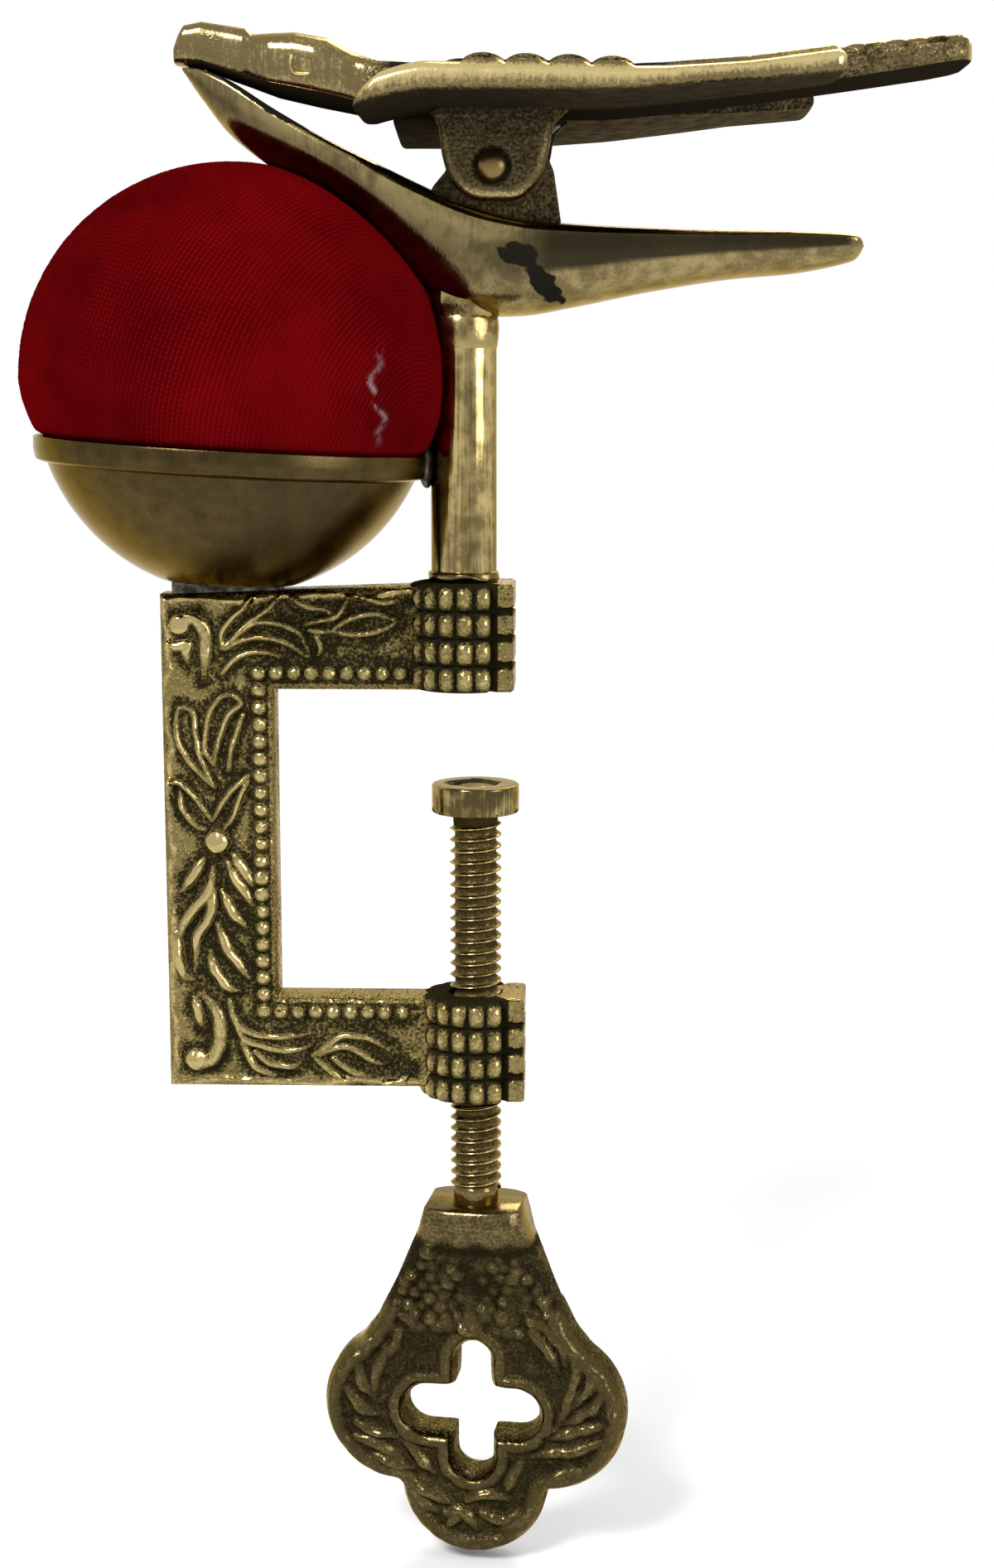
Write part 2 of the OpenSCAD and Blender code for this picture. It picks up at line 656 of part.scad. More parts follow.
// Thumb key: a round collar that spreads into a flat head of four lobes, pierced by a four-lobed window
side_lobe_r = 7.6;
foot_lobe_r = 7;
lobe_z = -20.4;
module key_outline() {
    polygon([for (side = [-1, 1], p = side < 0 ? [
        [0, -key_h + foot_lobe_r], [foot_lobe_r + 0.6, -27.4], [key_w / 2 - side_lobe_r, lobe_z],
        [9.4, -12.7], [7.4, -8.2], [5.7, -4.2], [collar_d / 2 + 0.5, -2], [collar_d / 2, 0]
    ] : [
        [-collar_d / 2, 0], [-collar_d / 2 - 0.5, -2], [-5.7, -4.2], [-7.4, -8.2], [-9.4, -12.7],
        [side_lobe_r - key_w / 2, lobe_z], [-foot_lobe_r - 0.6, -27.4]
    ]) p]);
    for (side = [-1, 1]) translate([side * (key_w / 2 - side_lobe_r), lobe_z]) circle(side_lobe_r);
    translate([0, -key_h + foot_lobe_r]) circle(foot_lobe_r);
}

module window_outline() {
    reach = (window_w - window_lobe) / 2;
    translate([0, lobe_z]) {
        square([window_w - window_lobe, window_lobe], center = true);
        square([window_lobe, window_w - window_lobe], center = true);
        for (a = [0 : 90 : 270]) rotate(a) translate([reach, 0]) circle(d = window_lobe, $fn = 32);
    }
}

module thumb_key() {
    neck_r = root_r + 0.22;
    color("goldenrod") translate([screw_x, 0, collar_top]) rotate([0, 0, -key_turn]) difference() {
        union() {
            plate(key_t) difference() {
                key_outline();
                window_outline();
            }
            // The shoulder tapers from the collar's depth to the head's
            intersection() {
                plate(collar_d) key_outline();
                rotate([0, 0, 90]) plate(4 * collar_d) polygon([
                    [-collar_d / 2 + 0.6, 0], [collar_d / 2 - 0.6, 0], [collar_d / 2 - 0.3, -2.4],
                    [key_t / 2 - 0.2, -9.5], [-key_t / 2 + 0.2, -9.5], [-collar_d / 2 + 0.3, -2.4]
                ]);
            }
        }
        translate([0, 0, -6.3]) cylinder(r = neck_r + fit, h = 6.3 + over);
    }
}

clamp_frame();
post();
post_base_braze();
post_top_braze();
cushion_cup();
cup_foot_solder();
cup_side_solder();
velvet_cover();
cushion_stuffing();
gathering_thread();
bird_body();
bird_top();
pivot_pin();
beak_spring();
clamp_screw();
pressure_pad();
thumb_key();
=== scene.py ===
"""Sewing bird: a cast brass table clamp with a velvet pincushion and a sprung bird that holds cloth.

Sizes in the classes are in millimetres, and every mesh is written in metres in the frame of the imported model:
+X from the beak to the tail, +Z up the post, and -Y towards the side that the photograph shows.
"""

import logging
import math
from dataclasses import dataclass
from enum import Enum
from typing import Callable, ClassVar, Optional, Sequence

import bmesh
import bpy
import numpy as np
from mathutils import Matrix, Vector

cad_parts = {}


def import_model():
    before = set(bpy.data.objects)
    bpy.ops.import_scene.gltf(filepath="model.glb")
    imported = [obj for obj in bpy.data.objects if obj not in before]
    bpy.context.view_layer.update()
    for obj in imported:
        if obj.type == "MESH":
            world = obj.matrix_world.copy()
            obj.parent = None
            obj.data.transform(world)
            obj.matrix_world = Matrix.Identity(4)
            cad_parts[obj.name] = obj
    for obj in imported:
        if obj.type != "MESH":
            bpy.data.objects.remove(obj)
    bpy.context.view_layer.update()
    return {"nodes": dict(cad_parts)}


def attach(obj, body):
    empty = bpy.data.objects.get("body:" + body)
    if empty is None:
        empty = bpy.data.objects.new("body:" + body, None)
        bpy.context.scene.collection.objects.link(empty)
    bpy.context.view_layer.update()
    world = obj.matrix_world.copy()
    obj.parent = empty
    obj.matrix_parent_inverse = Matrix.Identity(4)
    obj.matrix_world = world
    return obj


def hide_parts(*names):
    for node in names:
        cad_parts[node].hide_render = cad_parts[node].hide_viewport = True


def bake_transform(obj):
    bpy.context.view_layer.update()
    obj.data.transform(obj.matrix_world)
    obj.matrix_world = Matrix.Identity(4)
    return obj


LOG = logging.getLogger("sewing_bird")
MM = 0.001
Colour = tuple[float, float, float]
Point2 = tuple[float, float]
Array = np.ndarray
Mesh = bmesh.types.BMesh
PIVOT_X, PIVOT_Z = 2.7, 45.7  # the axis of the bird's pin, in millimetres


# Shader graphs


class Value:
    """A number that varies over a surface, held as a node's output socket, with arithmetic on it."""

    def __init__(self, graph: "Graph", socket: bpy.types.NodeSocket) -> None:
        """Args: graph: the graph that the socket is in. socket: the output socket."""
        self.graph = graph
        self.socket = socket

    def _math(self, operation: str, *inputs: "Value | float") -> "Value":
        """Returns the result of one Math node."""
        return self.graph.node("ShaderNodeMath", {"operation": operation}, dict(enumerate(inputs)))

    def __add__(self, other: "Value | float") -> "Value":
        """Returns the sum."""
        return self._math("ADD", self, other)

    __radd__ = __add__

    def __sub__(self, other: "Value | float") -> "Value":
        """Returns the difference."""
        return self._math("SUBTRACT", self, other)

    def __rsub__(self, other: float) -> "Value":
        """Returns a plain number less this value."""
        return self._math("SUBTRACT", other, self)

    def __mul__(self, other: "Value | float") -> "Value":
        """Returns the product."""
        return self._math("MULTIPLY", self, other)

    __rmul__ = __mul__

    def sine(self) -> "Value":
        """Returns the sine, of an angle in radians."""
        return self._math("SINE", self)

    def at_least(self, other: "Value | float") -> "Value":
        """Returns the larger of the two."""
        return self._math("MAXIMUM", self, other)

    def step(self, low: float, high: float) -> "Value":
        """Returns 0 at or under low, 1 at or over high, and a smooth climb between them."""
        return self.graph.node(
            "ShaderNodeMapRange",
            {"interpolation_type": "SMOOTHSTEP"},
            {"Value": self, "From Min": low, "From Max": high},
        )


class Graph:
    """The node tree of one material."""

    def __init__(self, name: str) -> None:
        """Args: name: the material's name."""
        self.material = bpy.data.materials.new(name)
        self.material.use_nodes = True
        self.tree = self.material.node_tree
        self.shader = self.tree.nodes["Principled BSDF"]
        self.place = self.node("ShaderNodeTexCoord", {}, {}, "Object")

    def node(self, kind: str, settings: dict, inputs: dict, output: "str | int" = 0) -> Value:
        """Adds any node.

        Args:
            kind: the node's type.
            settings: the node's own settings, which are set first.
            inputs: values or links, by socket name or place.
            output: the output socket that is wanted.

        Returns:
            The wanted output.
        """
        node = self.tree.nodes.new(kind)
        for key, setting in settings.items():
            setattr(node, key, setting)
        for key, value in inputs.items():
            if isinstance(value, Value):
                self.tree.links.new(value.socket, node.inputs[key])
            else:
                node.inputs[key].default_value = value
        return Value(self, node.outputs[output])

    def noise(self, per_m: float, detail: float = 3.0, stretch: Colour = (1, 1, 1)) -> Value:
        """Returns soft noise with that many waves to the metre, drawn out along some axes."""
        place = self.node("ShaderNodeMapping", {}, {"Vector": self.place, "Scale": stretch})
        return self.node("ShaderNodeTexNoise", {}, {"Vector": place, "Scale": per_m, "Detail": detail})

    def attribute(self, name: str) -> Value:
        """Returns a number that the mesh carries at its vertices."""
        return self.node("ShaderNodeAttribute", {"attribute_name": name}, {}, "Fac")

    def blend(self, share: "Value | float", low: "Value | Colour", high: "Value | Colour") -> Value:
        """Returns a colour that goes from low to high as share goes from 0 to 1."""
        full = [c if isinstance(c, Value) else (*c, 1.0) for c in (low, high)]
        return self.node(
            "ShaderNodeMix", {"data_type": "RGBA"}, {0: share, 6: full[0], 7: full[1]}, 2
        )

    def plug(self, **inputs: "Value | float") -> None:
        """Sets the shader's sockets, whose names are given with _ for a space."""
        for key, value in inputs.items():
            socket = self.shader.inputs[key.replace("_", " ")]
            if isinstance(value, Value):
                self.tree.links.new(value.socket, socket)
            else:
                socket.default_value = value

    def bump(self, height: Value, depth_mm: float) -> None:
        """Roughens the surface by a height that goes from 0 to 1."""
        self.plug(Normal=self.node("ShaderNodeBump", {}, {"Height": height, "Distance": depth_mm * MM}))


class Wear(Enum):
    """Where a casting's dark patina lies."""

    GROUND = "in the ground between raised work"
    PATCHES = "in a few patches"


@dataclass(frozen=True)
class Brass:
    """Brass, from rubbed bright to dark with age.

    A mesh may carry relief, the height over the ground that decides where patina stays and where the bright
    colour goes; tarnish, a soft browning, which on the post, the cup's bowl and the lower bird is painted
    reflection and painted shade; stain, where dark blots with ragged edges gather; and bare, where the dark is
    thin and brown.
    """

    name: str
    bright: Colour
    dull: Colour
    dark: Colour = (0.030, 0.024, 0.012)
    bared: Colour = (0.085, 0.063, 0.034)
    rough: float = 0.26
    wear: Wear = Wear.PATCHES
    low: float = 0.0
    high: float = 0.4
    ragged: float = 0.5
    mottle: float = 1.0
    stipple: float = 0.03
    scratch: float = 0.012
    filed: float = 0.0
    along: Colour = (1, 1, 0.06)

    def make(self) -> bpy.types.Material:
        """Returns the material."""
        g = Graph(self.name)
        cloud, spots, grains = g.noise(110, 4), g.noise(700, 5), g.noise(3600, 3)
        lines = (g.noise(4200, 2, self.along) - 0.5) * self.filed
        drift = ((cloud - 0.5) * 0.7 + (spots - 0.5) * 0.9) * self.mottle
        if self.wear is Wear.GROUND:
            height = g.attribute("relief") + (drift * 0.8 + (grains - 0.5) * 1.3) * self.ragged
            clean = height.step(self.low, self.high)
            # The highest relief takes the bright colour: rubbed wear on the crests, which on the frame and its
            # bosses also stands for painted highlight.
            shine = (height + lines).step(self.high, self.high + 0.5)
        else:
            clean = 1 - (g.attribute("stain") + drift).step(0.5, 0.6)
            shine = (drift + lines + 0.5).step(0.3, 0.7)
        brown = tuple(0.12 * a + 0.88 * b for a, b in zip(self.dull, self.dark))
        bare = g.blend(spots.step(0.3, 0.7), self.bared, tuple(0.45 * c for c in self.bared))
        # Tarnish browns the metal: real tarnish on some pieces, painted reflection and painted shade on the
        # post, the cup's bowl and the lower bird.
        metal = g.blend(g.attribute("tarnish"), g.blend(shine, self.dull, self.bright), brown)
        g.plug(
            Base_Color=g.blend(clean, g.blend(g.attribute("bare"), self.dark, bare), metal),
            Metallic=clean,
            Roughness=self.rough + (1 - clean) * 0.35 + (spots - 0.5) * 0.14,
            Specular_IOR_Level=0.0,
        )
        g.shader.inputs["Specular Tint"].default_value = (0.95, 0.78, 0.5, 1)
        pits = (grains * 0.7 + spots * 0.8) * (1.15 - clean)
        g.bump(pits * (self.stipple / 0.05) + g.noise(5200, 2, self.along) * (self.scratch / 0.05), 0.05)
        return g.material


@dataclass(frozen=True)
class Velvet:
    """Cotton velvet whose pile stands in fine rows, each a line of tufts."""

    name: str
    red: Colour = (0.128, 0.0016, 0.0028)
    deep: Colour = (0.044, 0.0005, 0.0009)
    rows: float = 275.0

    def make(self) -> bpy.types.Material:
        """Returns the material."""
        g = Graph(self.name)
        across, along = g.attribute("row_angle"), g.attribute("row_turn")
        wander = g.noise(260, 2) * 5.0
        tufts = (across * self.rows + wander * 0.35).sine() * 0.5 + 0.5
        stitches = (along * self.rows + wander).sine() * 0.5 + 0.5
        nap, fibres = g.noise(130, 4), g.noise(9000, 3)
        combed = g.noise(75, 2).step(0.36, 0.62) * 0.75 + 0.25
        pile = ((tufts * 0.55 + stitches * 0.3) * combed + 0.42 * (1 - combed)) + fibres * 0.7
        # Away darkens the pile towards -X as painted shade.
        shade = (nap * 0.55 + pile * 0.45 - g.attribute("away") * 0.13).step(0.34, 0.86)
        lint = g.attribute("lint") * g.noise(900, 4).step(0.40, 0.56)
        specks = g.node("ShaderNodeTexVoronoi", {}, {"Vector": g.place, "Scale": 190.0}, "Distance")
        white = ((1 - specks.step(0.012, 0.03)) * 0.5).at_least(lint * 0.42)
        red = g.blend(shade, self.deep, self.red)
        g.plug(
            Base_Color=g.blend(white, red, (0.46, 0.39, 0.42)),
            Roughness=0.95,
            Specular_IOR_Level=0.0,
            Sheen_Weight=0.14,
            Sheen_Roughness=0.4,
        )
        g.shader.inputs["Sheen Tint"].default_value = (0.5, 0.004, 0.006, 1)
        g.bump(pile, 0.09)
        return g.material


@dataclass(frozen=True)
class Fibre:
    """Loose or twisted undyed fibre, as of wool or linen."""

    name: str
    pale: Colour
    shade: Colour
    twist: float = 1.0

    def make(self) -> bpy.types.Material:
        """Returns the material."""
        g = Graph(self.name)
        strands = g.noise(2600, 5, (1, self.twist, 0.4))
        g.plug(Base_Color=g.blend(strands, self.shade, self.pale), Roughness=0.95, Sheen_Weight=0.3)
        g.bump(strands, 0.12)
        return g.material


@dataclass(frozen=True)
class GreyMetal:
    """Solder or steel wire: a plain grey metal, half dull."""

    name: str
    pale: Colour
    dark: Colour
    rough: float
    lumps: float

    def make(self) -> bpy.types.Material:
        """Returns the material."""
        g = Graph(self.name)
        tarnish, grain = g.noise(900, 4), g.noise(5000, 2)
        g.plug(
            Base_Color=g.blend(tarnish.step(0.35, 0.7), self.dark, self.pale),
            Metallic=1.0,
            Roughness=self.rough + (grain - 0.5) * 0.2,
        )
        g.bump(tarnish, self.lumps)
        return g.material


@dataclass(frozen=True)
class Studio:
    """A pale floor that fades to a white background."""

    name: str = "pale_floor"

    def make(self) -> bpy.types.Material:
        """Returns the floor's material."""
        g = Graph(self.name)
        grey = g.blend(g.noise(3, 2), (0.80, 0.80, 0.80), (0.84, 0.84, 0.84))
        g.plug(Roughness=0.9, Specular_IOR_Level=0.1, Base_Color=grey)
        far = g.node("ShaderNodeVectorMath", {"operation": "LENGTH"}, {0: g.place}, 1).step(0.10, 0.55)
        path = g.tree.nodes.new("ShaderNodeLightPath")
        seen = Value(g, path.outputs["Is Camera Ray"]).at_least(Value(g, path.outputs["Is Glossy Ray"]))
        seen = seen.at_least(Value(g, path.outputs["Is Transmission Ray"]))
        white = g.node("ShaderNodeEmission", {}, {"Color": (1, 1, 1, 1), "Strength": 1.0})
        plain = Value(g, g.shader.outputs[0])
        mixed = g.node("ShaderNodeMixShader", {}, {0: far * seen, 1: plain, 2: white})
        g.tree.links.new(mixed.socket, g.tree.nodes["Material Output"].inputs["Surface"])
        return g.material


# Meshes


def grid(nu: int, nv: int) -> tuple[Mesh, Array, Array]:
    """Makes a grid to be shaped.

    Args:
        nu: faces along u.
        nv: faces along v.

    Returns:
        The grid, and u and v from 0 to 1 at its vertices.
    """
    bm = bmesh.new()
    bmesh.ops.create_grid(bm, x_segments=nu, y_segments=nv, size=0.5)
    places = np.array([v.co for v in bm.verts])
    return bm, places[:, 0] + 0.5, places[:, 1] + 0.5


def shape(bm: Mesh, places: Array, **numbers: Array) -> None:
    """Moves a bmesh's vertices, and gives them numbers that a material reads.

    Args:
        bm: the mesh.
        places: the new places, in millimetres.
        numbers: one array for each named number.
    """
    layers = {name: bm.verts.layers.float.get(name) or bm.verts.layers.float.new(name) for name in numbers}
    for i, vert in enumerate(bm.verts):
        vert.co = places[i] * MM
        for name, layer in layers.items():
            vert[layer] = float(numbers[name][i])


def weld(bm: Mesh, gap: float = 0.002) -> None:
    """Merges vertices that meet within gap millimetres, and turns the faces outwards."""
    bmesh.ops.remove_doubles(bm, verts=bm.verts, dist=gap * MM)
    bmesh.ops.recalc_face_normals(bm, faces=bm.faces)


def close(bm: Mesh) -> None:
    """Fills a mesh's open ends, and turns its faces outwards."""
    bmesh.ops.holes_fill(bm, edges=[e for e in bm.edges if e.is_boundary], sides=0)
    bmesh.ops.recalc_face_normals(bm, faces=bm.faces)


def grown(bm: Mesh, edges: list[bmesh.types.BMEdge]) -> tuple[list, list]:
    """Extrudes edges in place, and returns the new vertices and the new edges."""
    made = bmesh.ops.extrude_edge_only(bm, edges=edges)["geom"]
    verts = [g for g in made if isinstance(g, bmesh.types.BMVert)]
    return verts, [g for g in made if isinstance(g, bmesh.types.BMEdge)]


def both_faces(bm: Mesh) -> None:
    """Makes a casting out of its front face: its edges run back to the middle plane, and all is mirrored."""
    for vert in grown(bm, [e for e in bm.edges if e.is_boundary])[0]:
        vert.co.y = 0
    bmesh.ops.mirror(bm, geom=bm.verts[:] + bm.edges[:] + bm.faces[:], axis="Y", merge_dist=2e-6)
    weld(bm)


def placed(bm: Mesh, x: float, z: float = 0.0, degrees: float = 0.0, axis: str = "Z") -> Mesh:
    """Turns a mesh about an axis, moves it by x and z millimetres, and returns it."""
    place = Matrix.Translation((x * MM, 0, z * MM)) @ Matrix.Rotation(math.radians(degrees), 4, axis)
    bmesh.ops.transform(bm, matrix=place, verts=bm.verts)
    return bm


def tube(path: Sequence[Vector], ways: Sequence[Vector], radius: float, sides: int, closed: bool) -> Mesh:
    """Bridges rings along a path.

    Args:
        path: the middles of the rings, in metres.
        ways: the way that each ring faces.
        radius: the rings' radius, in millimetres.
        sides: how many sides they have.
        closed: whether the last ring meets the first. Otherwise the ends are capped.

    Returns:
        The tube.
    """
    bm, rings = bmesh.new(), []
    for i, (middle, way) in enumerate(zip(path, ways)):
        cap = not closed and i in (0, len(path) - 1)
        ring = bmesh.ops.create_circle(bm, segments=sides, radius=radius * MM, cap_ends=cap)["verts"]
        place = Matrix.Translation(middle) @ way.to_track_quat("Z", "Y").to_matrix().to_4x4()
        bmesh.ops.transform(bm, matrix=place, verts=ring)
        rings.append({e for v in ring for e in v.link_edges})
    for a, b in zip(rings, rings[1:] + rings[: 1 if closed else 0]):
        bmesh.ops.bridge_loops(bm, edges=list(a | b))
    bmesh.ops.recalc_face_normals(bm, faces=bm.faces)
    return bm


def turned(profile: Sequence[Point2], steps: int = 96) -> Mesh:
    """Turns a profile about Z.

    Args:
        profile: radius and height of each point, in millimetres, from one end to the other.
        steps: faces round the axis.

    Returns:
        The turned mesh.
    """
    bm = bmesh.new()
    verts = [bm.verts.new((r * MM, 0, z * MM)) for r, z in profile]
    edges = [bm.edges.new(pair) for pair in zip(verts, verts[1:])]
    bmesh.ops.spin(
        bm, geom=verts + edges, axis=(0, 0, 1), cent=(0, 0, 0), angle=2 * math.pi, steps=steps, use_merge=True
    )
    weld(bm)
    return bm


def rounded(profile: Sequence[Point2], size: float, count: int = 5) -> list[Point2]:
    """Rounds the inner corners of a profile, with cuts of at most size and count points to a corner."""
    points = [Vector(p) for p in profile]
    out = [tuple(points[0])]
    for before, here, after in zip(points, points[1:], points[2:]):
        cut = min(size, (before - here).length / 2.1, (after - here).length / 2.1)
        start, end = here + (before - here).normalized() * cut, here + (after - here).normalized() * cut
        for i in range(count):
            t = i / (count - 1)
            out.append(tuple((1 - t) ** 2 * start + 2 * t * (1 - t) * here + t * t * end))
    return out + [tuple(points[-1])]


def smooth_path(points: Sequence[Sequence[float]], count: int = 7) -> Array:
    """Returns a smooth curve through the points, with count steps between each two."""
    p = np.array(points, float)
    p = np.vstack([2 * p[0] - p[1], p, 2 * p[-1] - p[-2]])
    t = np.linspace(0, 1, count, endpoint=False)[:, None]
    out = []
    for a, b, c, d in zip(p, p[1:], p[2:], p[3:]):
        out.append(b + 0.5 * t * (c - a + t * (2 * a - 5 * b + 4 * c - d + t * (3 * (b - c) + d - a))))
    return np.vstack([*out, p[-2:-1]])


def mark(bm: Mesh, **rules: Callable[[Array], Array]) -> Mesh:
    """Gives a mesh numbers that a material reads.

    Args:
        bm: the mesh.
        rules: for each number, what works it out from the vertices' places in millimetres.

    Returns:
        The same mesh.
    """
    places = np.array([v.co for v in bm.verts]) / MM
    for name, rule in rules.items():
        layer = bm.verts.layers.float.get(name) or bm.verts.layers.float.new(name)
        for vert, number in zip(bm.verts, rule(places)):
            vert[layer] = float(number)
    return bm


def unit(x: Array) -> Array:
    """Returns x held between 0 and 1."""
    return np.clip(x, 0, 1)


def bell(x: Array, middle: "Array | float", width: "Array | float") -> Array:
    """Returns 1 at the middle of x's range, falling smoothly to 0 a few widths away."""
    return np.exp(-(((x - middle) / width) ** 2))


def bullnose(edge: Array, radius: float, depth: float) -> Array:
    """Returns how far a surface falls near its edge, for a rounding of that radius and depth."""
    return depth * (1 - np.sqrt(1 - (1 - unit(edge / radius)) ** 2))


class Relief:
    """Raised work on a flat ground, as a height at each of the given points, in millimetres."""

    def __init__(self, x: Array, z: Array) -> None:
        """Args: x, z: places of the points on the ground."""
        self.x, self.z = x, z
        self.height = np.zeros_like(x)
        self.clear = np.full_like(x, 9.0)

    def near(self, path: Array) -> tuple[Array, Array]:
        """Measures the points against a line.

        Args:
            path: points of the line.

        Returns:
            Each point's distance to it, and the share of its length there.
        """
        best, share = np.full_like(self.x, 1e9), np.zeros_like(self.x)
        total = np.linalg.norm(np.diff(path, axis=0), axis=1).sum()
        done = 0.0
        for a, b in zip(path, path[1:]):
            d = b - a
            long = float(np.hypot(*d))
            t = unit(((self.x - a[0]) * d[0] + (self.z - a[1]) * d[1]) / max(long * long, 1e-9))
            away = np.hypot(self.x - a[0] - t * d[0], self.z - a[1] - t * d[1])
            closer = away < best
            best[closer] = away[closer]
            share[closer] = (done + t[closer] * long) / total
            done += long
        return best, share

    def ridge(
        self, points: Sequence[Point2], half: float, rise: float, sizes: Sequence[float] = (0.5, 1, 1, 0.35),
        soft: float = 0.5,
    ) -> None:
        """Raises a rounded ridge.

        Args:
            points: the ridge's way.
            half: half its width.
            rise: its height.
            sizes: shares of its width and height at its start, a quarter, two thirds and its end.
            soft: 0.5 for a round section, and more for a softer one.
        """
        away, share = self.near(smooth_path(points))
        size = np.interp(share, [0, 0.25, 0.65, 1], sizes)
        self.raised(1 - (away / (half * size)) ** 2, rise * size, soft)
        self.clear = np.minimum(self.clear, np.maximum(away - half * size, 0))

    def raised(self, inside: Array, rise: "Array | float", soft: float = 0.5) -> None:
        """Raises the ground where inside is over 0, to the full rise where it is 1."""
        self.height = np.maximum(self.height, rise * unit(inside) ** soft)

    def fill(self, first: Sequence[Point2], second: Sequence[Point2], rise: float) -> None:
        """Raises the leaf between two outlines that start and end together."""
        loop = np.vstack([smooth_path(first, 4), smooth_path(second, 4)[::-1]])
        inside = np.zeros(len(self.x), bool)
        for (x0, z0), (x1, z1) in zip(loop, np.roll(loop, -1, 0)):
            crosses = (z0 > self.z) != (z1 > self.z)
            at = x0 + (self.z - z0) * (x1 - x0) / (z1 - z0 if z1 != z0 else 1e-9)
            inside ^= crosses & (self.x < at)
        self.height = np.maximum(self.height, rise * inside)
        self.clear = np.where(inside, 0.5, self.clear)

    def dome(
        self, x: float, z: float, radius: float, rise: float, square: float = 2.0, soft: float = 0.5
    ) -> None:
        """Raises a dome, round at square 2 and nearer to a square above it."""
        away = (np.abs(self.x - x) ** square + np.abs(self.z - z) ** square) ** (1 / square)
        self.raised(1 - (away / radius) ** square, rise, soft)
        self.clear = np.minimum(self.clear, np.maximum(away - radius, 0))

    def lumps(self, size: float, rise: float, seed: int) -> None:
        """Adds soft uneven lumps of about that size all over."""
        rng = np.random.default_rng(seed)
        for _ in range(14):
            a, turn = rng.uniform(0, math.pi), rng.uniform(0, 6.3)
            k = rng.uniform(0.6, 1.5) * math.pi / size
            self.height = self.height + rise / 5 * np.sin(
                k * (self.x * math.cos(a) + self.z * math.sin(a)) + turn
            )


class Shop:
    """Turns finished meshes into named pieces on their bodies."""

    def __init__(self, nodes: dict[str, bpy.types.Object]) -> None:
        """Args: nodes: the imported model's objects, by name."""
        self.nodes = nodes
        self.made: dict[str, bpy.types.Material] = {}

    def finish(self, finish: "Brass | Velvet | Fibre | GreyMetal | Studio") -> bpy.types.Material:
        """Returns the finish's material, made once."""
        if finish.name not in self.made:
            self.made[finish.name] = finish.make()
        return self.made[finish.name]

    def show(
        self, name: str, bm: Mesh, finish: "Brass | Velvet | GreyMetal | Studio"
    ) -> bpy.types.Object:
        """Writes a mesh, which is freed, into a new object with its finish, and returns the object."""
        mesh = bpy.data.meshes.new(name)
        bm.to_mesh(mesh)
        bm.free()
        shown = bpy.data.objects.new(name, mesh)
        bpy.context.scene.collection.objects.link(shown)
        mesh.materials.append(self.finish(finish))
        return shown

    def piece(
        self,
        name: str,
        bm: Mesh,
        finish: "Brass | Velvet | GreyMetal",
        body: Optional[str],
        slot: str,
        replaces: Sequence[str] = (),
        sharp: float = 40.0,
    ) -> bpy.types.Object:
        """Makes a piece.

        Args:
            name: the piece's name.
            bm: its mesh, in metres, which is freed.
            finish: what it is finished with.
            body: the body that it rides on, or None for a piece on no body.
            slot: the record's material slot; not used.
            replaces: CAD nodes that it stands for.
            sharp: edges that turn by more than this many degrees stay sharp.

        Returns:
            The piece.
        """
        for edge in bm.edges:
            edge.smooth = len(edge.link_faces) != 2 or edge.calc_face_angle(0) < math.radians(sharp)
        for face in bm.faces:
            face.smooth = True
        piece = self.show(name, bm, finish)
        if body:
            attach(piece, body)
        if replaces:
            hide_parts(*replaces)
        LOG.info("%s on %s: %d faces", name, body or "two bodies", len(piece.data.polygons))
        return piece

    def dress(self, node: str, finish: "Brass | Fibre | GreyMetal") -> None:
        """Gives a CAD node that stays its finish, with smooth shading left as it is."""
        materials = self.nodes[node].data.materials
        materials.clear()
        materials.append(self.finish(finish))
        LOG.info("%s keeps its CAD shape", node)


CAST = Brass(
    "cast_brass", (0.43, 0.34, 0.148), (0.20, 0.154, 0.056), (0.016, 0.013, 0.0052),
    rough=0.15, wear=Wear.GROUND, low=-0.10, high=0.40, ragged=1.0, mottle=0.75, stipple=0.13,
)
KEY = Brass(
    "key_brass", (0.175, 0.135, 0.060), (0.068, 0.051, 0.020), (0.012, 0.0098, 0.0044),
    rough=0.18, wear=Wear.GROUND, low=-0.20, high=0.50, ragged=0.9, mottle=0.8, stipple=0.12, filed=0.5,
    along=(0.06, 1, 1),
)
POST = Brass(
    "post_brass", (0.52, 0.405, 0.175), (0.19, 0.14, 0.056), (0.022, 0.016, 0.007),
    rough=0.14, filed=0.7, along=(1, 1, 0.03),
)
BRAZE = Brass("braze_brass", (0.34, 0.26, 0.11), (0.12, 0.088, 0.035), rough=0.2, stipple=0.16, mottle=1.6)
CUP = Brass(
    "cup_brass", (0.098, 0.068, 0.025), (0.040, 0.0275, 0.0105),
    rough=0.15, mottle=0.45, filed=0.5, along=(1, 1, 8),
)
BIRD = Brass(
    "bird_brass", (0.31, 0.24, 0.105), (0.14, 0.106, 0.047), (0.012, 0.0105, 0.0075), rough=0.17, filed=0.35,
    along=(1, 1, 0.1),
)
FEATHERS = Brass(
    "feather_brass", (0.60, 0.48, 0.22), (0.18, 0.137, 0.060), (0.014, 0.011, 0.0065),
    rough=0.17, wear=Wear.GROUND, low=0.02, high=0.42, ragged=0.48, stipple=0.08, filed=0.5,
)
EAR = Brass(
    "ear_brass", (0.38, 0.29, 0.135), (0.115, 0.087, 0.040), (0.014, 0.0115, 0.0065),
    rough=0.28, wear=Wear.GROUND, low=-0.35, high=0.50, ragged=1.1, mottle=0.45, stipple=0.12,
)
PIN = Brass("pin_brass", (0.22, 0.155, 0.058), (0.13, 0.09, 0.033), rough=0.36, mottle=0.5, stipple=0.06)
